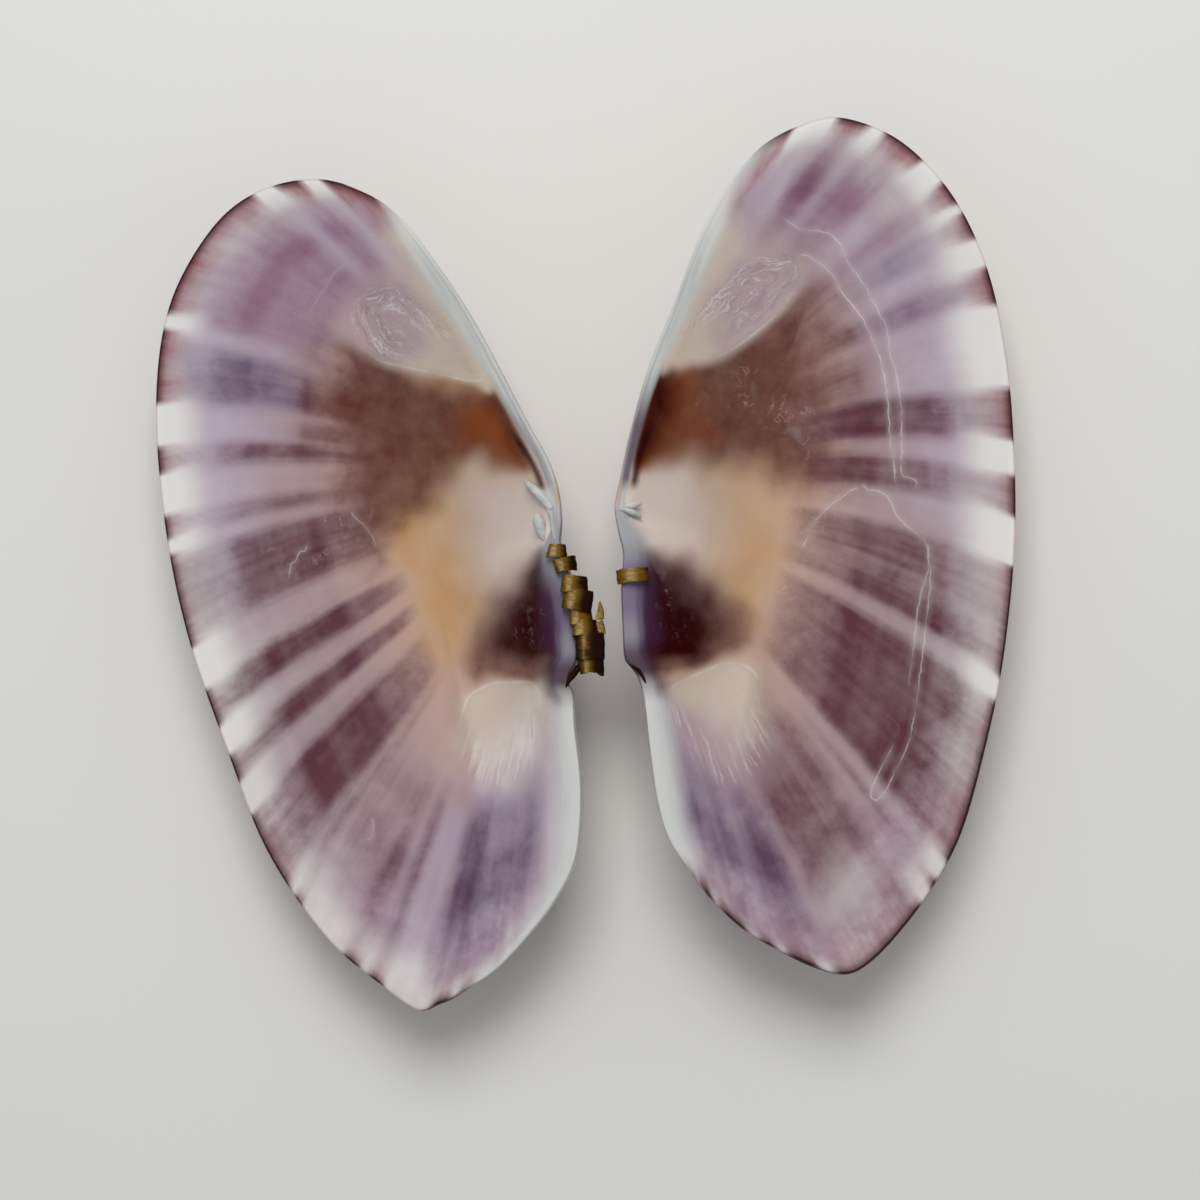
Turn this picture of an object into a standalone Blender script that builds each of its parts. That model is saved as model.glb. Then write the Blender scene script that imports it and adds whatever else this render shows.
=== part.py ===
"""Sunset clam shell: the two valves of one shell, parted at the hinge and lying side by side with their hollow faces
up, and the dried scraps of the ligament that once joined them.

Metres, +Z up. The origin is on the surface that the shell lies on, under the middle of the pair. +Y points to the
shell's front end, -X to the valve on the left and +X to the valve on the right, as they lie.
"""

import math

import bmesh
import bpy
import numpy as np
from mathutils import Vector

MM = 0.001

# Each valve lies in its own frame, whose XY plane holds the valve's margin and whose origin is above its deepest point.
# An outline point is (x, y, width of the flat edge there) in millimetres, clockwise from above on the left valve and
# counter-clockwise on the right one: from the front end along the hinge side to the rear corner, and back along the
# thin free edge.
LEFT_OUTLINE = (
    # Front end and the hinge side's front slope.
    (-5.8, 23.4, 0.3), (-2.8, 22.5, 0.5), (-0.7, 21.0, 0.8), (1.4, 18.3, 1.1), (3.5, 15.1, 1.2),
    (5.2, 12.0, 1.1), (7.1, 8.3, 1.0), (8.3, 6.1, 0.8), (8.9, 4.3, 0.7), (9.1, 2.6, 0.6),
    # The platform that the ligament grew on, and the notch at its rear end.
    (9.0, 1.1, 1.1), (9.4, -0.1, 1.5), (9.8, -2.0, 1.9), (9.9, -4.1, 1.9), (9.9, -5.5, 1.8), (9.5, -6.3, 1.4),
    (9.4, -6.9, 1.2), (9.7, -7.5, 1.1),
    # The hinge side's rear slope, down to the rear corner.
    (9.8, -9.5, 1.3), (10.1, -12.1, 1.6), (10.1, -14.6, 1.7), (9.7, -17.1, 1.5), (8.5, -19.3, 1.1),
    (6.9, -21.3, 0.7), (5.0, -23.2, 0.4), (2.8, -24.6, 0.2), (1.7, -25.1, 0.2), (1.0, -25.4, 0.2),
    (0.3, -25.3, 0.2),
    # The free edge, back to the front end.
    (-1.2, -24.3, 0.2), (-4.9, -21.3, 0.2), (-8.5, -16.3, 0.2), (-11.0, -10.4, 0.2), (-13.5, -3.6, 0.2),
    (-15.0, 3.2, 0.2), (-15.6, 10.5, 0.2), (-14.8, 16.2, 0.2), (-12.3, 20.6, 0.3), (-9.4, 22.8, 0.3),
)
RIGHT_OUTLINE = (
    # Front end and the hinge side's front slope.
    (3.6, 24.9, 0.3), (1.1, 24.3, 0.5), (-1.2, 22.9, 0.8), (-3.0, 20.7, 1.1), (-4.7, 17.5, 1.1),
    (-6.2, 13.5, 1.0), (-7.7, 9.7, 1.0), (-8.7, 6.1, 0.8), (-9.3, 3.3, 0.7), (-9.6, 1.7, 0.6),
    # The platform that the ligament grew on, and the notch at its rear end.
    (-9.4, 0.3, 1.0), (-9.1, -1.0, 1.4), (-9.2, -2.9, 1.8), (-9.1, -5.5, 2.0), (-9.0, -7.0, 2.1),
    (-8.6, -7.6, 1.7), (-8.2, -8.3, 1.2), (-7.9, -9.6, 1.1),
    # The hinge side's rear slope, down to the rear corner.
    (-7.6, -12.3, 1.3), (-7.2, -15.1, 1.4), (-6.6, -17.2, 1.3), (-5.6, -18.8, 1.0), (-4.1, -20.8, 0.6),
    (-2.1, -22.6, 0.4), (0.3, -23.9, 0.2), (2.2, -24.7, 0.2), (3.5, -24.9, 0.2), (4.6, -24.4, 0.2),
    # The free edge, back to the front end.
    (6.1, -23.0, 0.2), (8.1, -20.5, 0.2), (10.0, -17.2, 0.2), (11.5, -12.4, 0.2), (12.7, -7.2, 0.2),
    (13.5, -0.7, 0.2), (13.6, 5.2, 0.2), (13.2, 11.0, 0.2), (12.1, 16.3, 0.2), (10.1, 20.5, 0.3),
    (7.1, 23.6, 0.3),
)

# The hollow: its depth, and how full it is, from bowl-like at the free edge to steep-walled under the beak.
HOLLOW_DEPTH = 5.6 * MM
FULLNESS = 1.9
FULLNESS_UNDER_BEAK = 0.8
LEFT_BEAK = (8.5, 3.1)
RIGHT_BEAK = (-9.0, 1.6)

# The wall: thick in the middle and along the wide hinge-side edge, thin at the free edge.
WALL_MIDDLE = 0.95 * MM
WALL_THIN_EDGE = 0.25 * MM
WALL_PER_EDGE_WIDTH = 0.45
WALL_MOST = 1.2 * MM

# How each valve lies on its rounded back: where its frame is, how far its free edge leans down and its front end lifts.
LEFT_PLACE = (-9.83 * MM, -0.55 * MM, 6.55 * MM)
LEFT_LEAN = math.radians(6.7)
LEFT_LIFT = math.radians(2.0)
RIGHT_PLACE = (11.85 * MM, 1.07 * MM, 6.55 * MM)
RIGHT_LEAN = math.radians(7.2)
RIGHT_LIFT = math.radians(0.3)

# Hinge teeth: (x, y, length, width) in millimetres in the valve's frame, and the turn of the length in degrees.
TOOTH_TOP = 0.3 * MM
TOOTH_BOTTOM = -0.9 * MM
TOOTH_TAPER = 0.6
LEFT_TEETH = ((7.85, 3.9, 1.9, 0.6, 133.0), (8.0, 2.5, 1.3, 0.5, 40.0))
RIGHT_TEETH = ((-8.6, 1.5, 1.5, 0.8, 178.0),)

# The ligament dried and broke into curled scraps, each an arch about a line along the hinge. A scrap is (name, place of
# its middle, radius, length, start and end of the arch from the +X side up, turn about Z), in millimetres and degrees.
SCRAP_THICKNESS = 0.2 * MM
SCRAP_STEPS = 7
SCRAP_WAIST = 0.06 * MM
LEFT_SCRAPS = (
    ("ligament_chip_upper", (8.90, 0.72, -0.05), 0.62, 0.75, 20, 160, -4),
    ("ligament_chip_lower", (9.36, -0.10, 0.02), 0.66, 0.75, -30, 165, 12),
    ("ligament_ring_1", (9.92, -1.22, 0.14), 0.78, 0.80, -45, 180, -4),
    ("ligament_ring_2", (10.10, -2.15, 0.14), 0.88, 0.90, -50, 180, -8),
    ("ligament_ring_3", (10.25, -3.02, 0.12), 0.62, 0.55, -50, 180, 8),
    ("ligament_ring_4", (10.52, -3.72, 0.14), 0.72, 0.60, -60, 180, 6),
    ("ligament_ring_5", (10.80, -4.76, 0.10), 0.85, 1.20, -75, 190, 0),
    ("ligament_ring_6", (10.84, -5.92, 0.05), 0.70, 0.85, -70, 185, 4),
    ("ligament_flake_upper", (11.34, -2.80, 0.05), 0.26, 0.60, -20, 110, 10),
    ("ligament_flake_lower", (11.62, -3.72, -0.05), 0.24, 0.60, -20, 130, 6),
    ("ligament_end_left", (9.98, -7.05, -0.10), 0.24, 0.80, 10, 170, -30),
)
RIGHT_SCRAPS = (
    ("ligament_chip_right", (-8.50, -2.35, -0.72), 1.22, 0.80, 48, 145, 6),
    ("ligament_end_right", (-8.74, -8.50, -0.10), 0.24, 1.00, 10, 170, 30),
)

# How finely the curved faces are made, and how many waves around the middle its broad shape keeps.
EDGE_STEPS = 2
DISH_RINGS = (0.94, 0.86, 0.76, 0.65, 0.53, 0.40, 0.26, 0.12)
EDGE_FADE = 3
BROAD_WAVES = 5
BROAD_SAMPLES = 256


def clear_scene():
    for thing in list(bpy.data.objects):
        bpy.data.objects.remove(thing)


def add_collection(name):
    made = bpy.data.collections.new(name)
    bpy.context.scene.collection.children.link(made)
    return made


def add_material(name, colour, roughness):
    made = bpy.data.materials.new(name)
    made.use_nodes = True
    shader = made.node_tree.nodes["Principled BSDF"]
    shader.inputs["Base Color"].default_value = (*colour, 1)
    shader.inputs["Roughness"].default_value = roughness
    shader.inputs["Metallic"].default_value = 0.0
    return made


def add_object(name, shape, group, parent=None):
    """A new object that holds the finished bmesh."""
    mesh = bpy.data.meshes.new(name)
    shape.to_mesh(mesh)
    shape.free()
    made = bpy.data.objects.new(name, mesh)
    group.objects.link(made)
    made.parent = parent
    return made


def make_cutter(thing):
    thing.hide_render = True
    thing.display_type = "WIRE"


def smooth_loop(points, steps):
    """A closed smooth curve through the points, with this many steps from each point to the next."""
    loop = []
    for i, start in enumerate(points):
        before = Vector(points[i - 1])
        here = Vector(start)
        after = Vector(points[(i + 1) % len(points)])
        beyond = Vector(points[(i + 2) % len(points)])
        for step in range(steps):
            t = step / steps
            curve = 2 * here + (after - before) * t
            curve += (2 * before - 5 * here + 4 * after - beyond) * t**2
            curve += (3 * here - before - 3 * after + beyond) * t**3
            loop.append(curve / 2)
    return loop


def broad_radii(places):
    """How far the loop is from the middle in each place's direction, without its notches and corners."""
    angles = np.array([math.atan2(place.y, place.x) for place in places])
    radii = np.array([place.length for place in places])
    even = np.linspace(-math.pi, math.pi, BROAD_SAMPLES, endpoint=False)
    waves = np.fft.rfft(np.interp(even, angles, radii, period=2 * math.pi))
    waves *= np.exp(-((np.arange(len(waves)) / BROAD_WAVES) ** 2) / 2)
    return np.interp(angles, even, np.fft.irfft(waves, BROAD_SAMPLES), period=2 * math.pi)


def hollow_face(outline, beak):
    """The hollow face as an open surface, whose rings shrink from the margin to the deepest point, and the wall's
    thickness at each of its points.
    """
    shape = bmesh.new()
    walls = []
    towards_beak = Vector(beak).normalized()

    def add_point(place, depth, wall):
        walls.append(wall)
        return shape.verts.new((place.x, place.y, -depth))

    margin = []
    crest = []
    edge_walls = []
    fullness = []
    for x, y, edge in smooth_loop(outline, EDGE_STEPS):
        place = Vector((x, y)) * MM
        outwards = place.normalized()
        margin.append(place)
        crest.append(place - outwards * edge * MM)
        edge_walls.append(min(WALL_THIN_EDGE + WALL_PER_EDGE_WIDTH * edge * MM, WALL_MOST))
        fullness.append(FULLNESS + FULLNESS_UNDER_BEAK * max(outwards.dot(towards_beak), 0) ** 2)

    rings = [[add_point(place, 0, wall) for place, wall in zip(margin, edge_walls)]]
    rings.append([add_point(place, 0, wall) for place, wall in zip(crest, edge_walls)])
    broad = [place * (radius / place.length) for place, radius in zip(crest, broad_radii(crest))]
    for share in DISH_RINGS:
        ring = []
        for sharp, soft, edge_wall, full in zip(crest, broad, edge_walls, fullness):
            place = soft.lerp(sharp, share**EDGE_FADE) * share
            depth = HOLLOW_DEPTH * (1 - share**full)
            wall = WALL_MIDDLE + (edge_wall - WALL_MIDDLE) * share**EDGE_FADE
            ring.append(add_point(place, depth, wall))
        rings.append(ring)
    middle = add_point(Vector((0, 0)), HOLLOW_DEPTH, WALL_MIDDLE)

    count = len(margin)
    for outer, inner in zip(rings, rings[1:]):
        for i in range(count):
            j = (i + 1) % count
            shape.faces.new((outer[i], outer[j], inner[j], inner[i]))
    for i in range(count):
        shape.faces.new((rings[-1][i], rings[-1][(i + 1) % count], middle))
    shape.normal_update()
    if middle.normal.z < 0:
        bmesh.ops.reverse_faces(shape, faces=shape.faces)
    return shape, walls


def add_boolean(target, cutter, operation):
    modifier = target.modifiers.new(cutter.name, "BOOLEAN")
    modifier.object = cutter
    modifier.operation = operation


def add_tooth(name, side, group, tooth):
    """A blunt, tapering ridge, which is joined to the valve that it grows from."""
    x, y, length, width, turn = tooth
    shape = bmesh.new()
    bmesh.ops.create_cone(
        shape, cap_ends=True, segments=8, radius1=0.5, radius2=0.5 * TOOTH_TAPER, depth=TOOTH_TOP - TOOTH_BOTTOM
    )
    bmesh.ops.scale(shape, vec=(length * MM, width * MM, 1), verts=shape.verts)
    made = add_object(name, shape, group, side)
    made.location = (x * MM, y * MM, (TOOTH_TOP + TOOTH_BOTTOM) / 2)
    made.rotation_euler = (0, 0, math.radians(turn))
    make_cutter(made)
    return made


def add_valve(name, outline, beak, teeth, side, table, look, parts, cutters):
    """One valve, a single piece: the wall grows from the hollow face, the teeth are joined to it, and the surface that
    it lies on takes off the sliver that it stands on.
    """
    shape, walls = hollow_face(outline, beak)
    valve = add_object(name, shape, parts, side)
    wall = valve.vertex_groups.new(name="wall")
    for i, thickness in enumerate(walls):
        wall.add([i], thickness / WALL_MOST, "REPLACE")
    growth = valve.modifiers.new("wall", "SOLIDIFY")
    growth.thickness = WALL_MOST
    growth.offset = -1
    growth.vertex_group = wall.name
    add_boolean(valve, table, "DIFFERENCE")
    for i, tooth in enumerate(teeth, 1):
        add_boolean(valve, add_tooth(f"{name}_tooth_{i}", side, cutters, tooth), "UNION")
    valve.data.shade_smooth()
    valve.data.materials.append(look)


def add_scrap(scrap, side, look, parts):
    """A curled scrap of ligament: a short line swept through an arch, narrowest at its middle."""
    name, place, radius, length, start, end, turn = scrap
    shape = bmesh.new()
    line = []
    for share in (-0.5, 0.0, 0.5):
        reach = radius * MM - (SCRAP_WAIST if share == 0 else 0)
        line.append(shape.verts.new((reach, share * length * MM, 0)))
    for a, b in zip(line, line[1:]):
        shape.edges.new((a, b))
    made = add_object(name, shape, parts, side)
    made.location = Vector(place) * MM
    made.rotation_euler = (0, -math.radians(end), math.radians(turn))
    sweep = made.modifiers.new("arch", "SCREW")
    sweep.axis = "Y"
    sweep.angle = math.radians(end - start)
    sweep.steps = SCRAP_STEPS
    sweep.render_steps = SCRAP_STEPS
    sweep.use_merge_vertices = False
    skin = made.modifiers.new("thickness", "SOLIDIFY")
    skin.thickness = SCRAP_THICKNESS
    made.data.materials.append(look)


def add_side(name, place, lift, lean, group):
    """The frame of one valve and its scraps."""
    side = bpy.data.objects.new(name, None)
    group.objects.link(side)
    side.location = place
    side.rotation_euler = (lift, lean, 0)
    return side


def add_table(group):
    """Everything below the surface that the shell lies on."""
    shape = bmesh.new()
    bmesh.ops.create_cube(shape, size=80 * MM)
    bmesh.ops.translate(shape, vec=(0, 0, -40 * MM), verts=shape.verts)
    table = add_object("table", shape, group)
    make_cutter(table)
    return table


def main():
    clear_scene()
    parts = add_collection("sunset_clam_shell")
    cutters = add_collection("cutters")
    shell_look = add_material("shell", (0.42, 0.26, 0.33), 0.3)
    ligament_look = add_material("dried_ligament", (0.16, 0.09, 0.02), 0.4)
    table = add_table(cutters)

    left = add_side("left_side", LEFT_PLACE, LEFT_LIFT, -LEFT_LEAN, parts)
    add_valve("left_valve", LEFT_OUTLINE, LEFT_BEAK, LEFT_TEETH, left, table, shell_look, parts, cutters)
    for scrap in LEFT_SCRAPS:
        add_scrap(scrap, left, ligament_look, parts)

    right = add_side("right_side", RIGHT_PLACE, RIGHT_LIFT, RIGHT_LEAN, parts)
    add_valve("right_valve", RIGHT_OUTLINE, RIGHT_BEAK, RIGHT_TEETH, right, table, shell_look, parts, cutters)
    for scrap in RIGHT_SCRAPS:
        add_scrap(scrap, right, ligament_look, parts)


main()
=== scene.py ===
"""Sunset clam shell: the finish of the two valves, which lie hollow side up, and of the dried scraps of ligament between
them, on a pale floor under soft light.
"""

import math

import bpy
import numpy as np
from mathutils import Euler, Matrix, Vector


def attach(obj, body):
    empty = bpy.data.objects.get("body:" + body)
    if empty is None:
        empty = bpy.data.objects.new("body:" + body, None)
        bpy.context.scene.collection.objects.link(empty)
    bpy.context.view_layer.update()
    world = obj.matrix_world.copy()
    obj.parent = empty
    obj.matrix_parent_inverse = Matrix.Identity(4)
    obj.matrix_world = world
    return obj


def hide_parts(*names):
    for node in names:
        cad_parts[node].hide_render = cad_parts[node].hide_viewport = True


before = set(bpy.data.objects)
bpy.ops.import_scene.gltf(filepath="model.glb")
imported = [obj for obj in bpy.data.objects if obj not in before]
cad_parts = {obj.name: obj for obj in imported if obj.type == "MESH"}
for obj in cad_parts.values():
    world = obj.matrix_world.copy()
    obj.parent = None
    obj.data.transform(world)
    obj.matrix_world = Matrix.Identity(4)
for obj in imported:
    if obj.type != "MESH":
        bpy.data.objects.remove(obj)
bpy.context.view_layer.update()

bl_info = {
    "name": "Sunset Clam Shell",
    "version": (1, 0, 0),
    "blender": (4, 5, 0),
    "location": "3D View > Sidebar > Sunset Clam",
    "description": "Builds the finished valves, the dried ligament and the stage of a sunset clam shell",
    "category": "Add Mesh",
}

MM = 0.001

# The valves' outlines, in millimetres in each valve's own frame, whose XY plane holds the margin and whose origin is
# above the deepest point. A point is (x, y, width of the flat edge there).
LEFT_OUTLINE = (
    # Front end and the hinge side's front slope.
    (-5.8, 23.4, 0.3), (-2.8, 22.5, 0.5), (-0.7, 21.0, 0.8), (1.4, 18.3, 1.1), (3.5, 15.1, 1.2),
    (5.2, 12.0, 1.1), (7.1, 8.3, 1.0), (8.3, 6.1, 0.8), (8.9, 4.3, 0.7), (9.1, 2.6, 0.6),
    # The platform that the ligament grew on, and the notch at its rear end.
    (9.0, 1.1, 1.1), (9.4, -0.1, 1.5), (9.8, -2.0, 1.9), (9.9, -4.1, 1.9), (9.9, -5.5, 1.8), (9.5, -6.3, 1.4),
    (9.4, -6.9, 1.2), (9.7, -7.5, 1.1),
    # The hinge side's rear slope, down to the rear corner.
    (9.8, -9.5, 1.3), (10.1, -12.1, 1.6), (10.1, -14.6, 1.7), (9.7, -17.1, 1.5), (8.5, -19.3, 1.1),
    (6.9, -21.3, 0.7), (5.0, -23.2, 0.4), (2.8, -24.6, 0.2), (1.7, -25.1, 0.2), (1.0, -25.4, 0.2),
    (0.3, -25.3, 0.2),
    # The free edge, back to the front end.
    (-1.2, -24.3, 0.2), (-4.9, -21.3, 0.2), (-8.5, -16.3, 0.2), (-11.0, -10.4, 0.2), (-13.5, -3.6, 0.2),
    (-15.0, 3.2, 0.2), (-15.6, 10.5, 0.2), (-14.8, 16.2, 0.2), (-12.3, 20.6, 0.3), (-9.4, 22.8, 0.3),
)
RIGHT_OUTLINE = (
    # Front end and the hinge side's front slope.
    (3.6, 24.9, 0.3), (1.1, 24.3, 0.5), (-1.2, 22.9, 0.8), (-3.0, 20.7, 1.1), (-4.7, 17.5, 1.1),
    (-6.2, 13.5, 1.0), (-7.7, 9.7, 1.0), (-8.7, 6.1, 0.8), (-9.3, 3.3, 0.7), (-9.6, 1.7, 0.6),
    # The platform that the ligament grew on, and the notch at its rear end.
    (-9.4, 0.3, 1.0), (-9.1, -1.0, 1.4), (-9.2, -2.9, 1.8), (-9.1, -5.5, 2.0), (-9.0, -7.0, 2.1),
    (-8.6, -7.6, 1.7), (-8.2, -8.3, 1.2), (-7.9, -9.6, 1.1),
    # The hinge side's rear slope, down to the rear corner.
    (-7.6, -12.3, 1.3), (-7.2, -15.1, 1.4), (-6.6, -17.2, 1.3), (-5.6, -18.8, 1.0), (-4.1, -20.8, 0.6),
    (-2.1, -22.6, 0.4), (0.3, -23.9, 0.2), (2.2, -24.7, 0.2), (3.5, -24.9, 0.2), (4.6, -24.4, 0.2),
    # The free edge, back to the front end.
    (6.1, -23.0, 0.2), (8.1, -20.5, 0.2), (10.0, -17.2, 0.2), (11.5, -12.4, 0.2), (12.7, -7.2, 0.2),
    (13.5, -0.7, 0.2), (13.6, 5.2, 0.2), (13.2, 11.0, 0.2), (12.1, 16.3, 0.2), (10.1, 20.5, 0.3),
    (7.1, 23.6, 0.3),
)

# How the hollow and the wall follow from the outline, in millimetres.
HOLLOW_DEPTH = 5.6
FULLNESS = 1.9
FULLNESS_UNDER_BEAK = 0.8
HINGE_ROLL = 0.5
CREST_ROUND = 1.8
WALL_MIDDLE = 0.95
WALL_THIN_EDGE = 0.25
WALL_PER_EDGE_WIDTH = 0.45
WALL_MOST = 1.2
EDGE_FADE = 3
BROAD_WAVES = 5
BROAD_SAMPLES = 256
RIM_ROUND = 0.14

# How finely a valve is made, and over how many steps to each side the hinge side's crest is evened out.
EDGE_STEPS = 15
CREST_STEPS = 18
DISH_RINGS = 104
SHELF_RINGS = 6
RIM_RINGS = 3
BACK_SHARES = (0.94, 0.86, 0.76, 0.65, 0.53, 0.40, 0.26, 0.12)
BACK_STEPS = 4

# The photograph's camera, in millimetres: where it is, where it looks, and its right-hand side.
CAMERA_PLACE = (12.06, -19.40, 143.44)
CAMERA_FORWARD = (-0.0773, 0.1219, -0.9895)
CAMERA_RIGHT = (0.997, 0.0, -0.0779)
SENSOR_WIDTH = 36.0
LENS = 72.0

# Growth runs from 0 at the beak to 1 at the margin. Its rings are drawn out towards the front end at half growth, by
# these millimetres at these bearings. A bearing is in degrees about the beak, 0 straight out from the hinge and
# positive towards the front end.
RING_DRIFT = ((-90, 0.0), (-60, 0.3), (-30, 1.1), (0, 1.9), (30, 2.3), (60, 1.5), (90, 0.0))

# How strong a ray is along its growth: (growth, strength).
PROFILES = {
    "block": ((0.41, 0.0), (0.46, 0.45), (0.50, 0.62), (0.57, 0.68), (0.61, 1.0), (0.67, 0.95), (0.73, 0.88),
              (0.78, 1.0), (0.82, 0.97), (0.86, 0.72), (0.90, 0.5), (0.95, 0.35), (1.0, 0.3)),
    "soft": ((0.41, 0.0), (0.46, 0.45), (0.50, 0.62), (0.57, 0.70), (0.61, 0.92), (0.66, 0.9), (0.73, 0.76),
             (0.78, 0.85), (0.82, 0.75), (0.86, 0.42), (0.91, 0.3), (1.0, 0.3)),
    "late": ((0.57, 0.0), (0.63, 0.5), (0.68, 0.66), (0.73, 0.8), (0.77, 1.0), (0.82, 0.9), (0.87, 0.5),
             (0.93, 0.3), (1.0, 0.2)),
    "mauve": ((0.55, 0.0), (0.61, 0.5), (0.65, 0.68), (0.69, 0.6), (0.73, 0.68), (0.77, 0.88), (0.80, 0.92),
              (0.84, 0.6), (0.88, 0.35), (0.93, 0.2), (1.0, 0.15)),
    "long": ((0.40, 0.0), (0.48, 0.45), (0.56, 0.9), (0.63, 0.95), (0.66, 0.78), (0.70, 0.72), (0.77, 0.82),
             (0.82, 0.6), (0.86, 0.25), (0.93, 0.25), (1.0, 0.4)),
    "early": ((0.44, 0.0), (0.50, 0.8), (0.57, 0.7), (0.61, 0.95), (0.635, 0.3), (0.67, 0.0)),
    "outer": ((0.10, 0.0), (0.22, 0.6), (0.45, 0.8), (0.62, 1.0), (0.70, 0.7), (0.80, 1.0), (0.90, 0.75), (1.0, 1.0)),
}

# A ray is (colour, profile, strength, softness in degrees, front and rear bearing at half growth, and near the margin).
LEFT_RAYS = (
    ("mauve", "late", 0.35, 1.6, (59.0, 56.0), (59.5, 56.5)),
    ("mauve", "mauve", 0.8, 1.8, (53.6, 49.2), (53.6, 49.2)),
    ("mauve", "mauve", 0.95, 2.0, (46.8, 26.4), (46.8, 26.2)),
    ("brown", "early", 0.8, 1.8, (22.4, 14.6), (21.2, 15.1)),
    ("brown", "early", 0.5, 1.8, (12.6, 8.6), (12.6, 8.8)),
    ("violet", "late", 0.82, 2.0, (23.2, 15.0), (23.0, 14.8)),
    ("plum", "long", 0.85, 1.3, (7.6, 4.3), (8.4, 4.6)),
    ("plum", "soft", 0.6, 1.2, (-2.4, -5.4), (-2.0, -5.2)),
    ("plum", "soft", 0.97, 1.7, (-8.0, -21.2), (-8.1, -20.8)),
    ("plum", "block", 0.12, 3.5, (-26.0, -59.0), (-25.0, -58.0)),
    ("plum", "block", 1.0, 1.2, (-28.9, -34.2), (-27.8, -32.9)),
    ("plum", "block", 0.96, 1.1, (-38.5, -42.4), (-37.1, -41.1)),
    ("plum", "block", 1.0, 1.5, (-47.2, -56.6), (-45.5, -54.6)),
    ("plum", "block", 0.5, 0.9, (-57.3, -58.9), (-55.9, -57.5)),
    ("plum", "late", 0.42, 2.0, (-58.8, -65.6), (-58.2, -65.4)),
    ("plum", "late", 0.72, 1.2, (-65.2, -67.8), (-65.2, -67.8)),
    ("plum", "late", 0.55, 1.1, (-69.0, -71.2), (-69.0, -71.2)),
    ("plum", "late", 0.25, 2.2, (-66.0, -76.0), (-66.0, -76.0)),
    ("violet", "late", 0.9, 1.6, (-75.6, -79.8), (-75.6, -79.8)),
    ("plum", "late", 0.22, 1.4, (-76.0, -79.4), (-76.0, -79.4)),
    ("violet", "late", 0.76, 2.6, (-79.6, -88.4), (-79.6, -88.4)),
)
RIGHT_RAYS = (
    ("mauve", "late", 0.15, 1.6, (67.5, 64.0), (67.5, 64.0)),
    ("mauve", "late", 0.95, 1.7, (62.0, 57.2), (61.4, 57.2)),
    ("plum", "late", 0.25, 1.4, (61.4, 57.8), (60.8, 57.8)),
    ("mauve", "late", 0.9, 1.8, (55.8, 50.0), (55.6, 49.8)),
    ("mauve", "late", 0.5, 1.3, (45.4, 41.6), (45.4, 42.0)),
    ("violet", "late", 0.4, 1.6, (41.0, 36.8), (41.2, 37.0)),
    ("brown", "early", 0.5, 1.4, (33.4, 28.8), (33.4, 28.8)),
    ("mauve", "late", 0.4, 1.6, (33.2, 28.0), (33.4, 28.2)),
    ("violet", "late", 0.35, 1.4, (32.4, 28.8), (32.6, 29.0)),
    ("brown", "early", 0.25, 1.8, (26.0, 19.0), (26.0, 19.0)),
    ("plum", "long", 0.98, 1.7, (17.0, 9.0), (16.4, 8.8)),
    ("plum", "long", 0.9, 1.6, (5.4, -1.8), (4.4, -1.6)),
    ("plum", "soft", 0.88, 1.4, (-8.9, -16.7), (-9.1, -16.5)),
    ("plum", "soft", 0.72, 1.0, (-16.6, -19.0), (-16.4, -18.8)),
    ("plum", "block", 0.88, 1.1, (-19.0, -24.1), (-18.8, -23.9)),
    ("plum", "block", 0.2, 3.5, (-23.0, -64.0), (-23.0, -64.0)),
    ("plum", "block", 0.94, 1.2, (-27.5, -47.6), (-27.3, -47.7)),
    ("plum", "late", 0.45, 0.8, (-49.9, -51.0), (-49.9, -51.0)),
    ("plum", "soft", 0.7, 1.8, (-53.3, -65.2), (-53.3, -65.2)),
    ("violet", "late", 0.96, 1.6, (-65.8, -70.0), (-66.0, -70.2)),
    ("plum", "late", 0.32, 1.4, (-66.2, -69.6), (-66.4, -69.8)),
    ("violet", "late", 0.84, 1.8, (-70.4, -74.6), (-70.6, -74.8)),
    ("violet", "late", 0.7, 2.2, (-74.4, -80.5), (-74.4, -80.5)),
)

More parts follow.
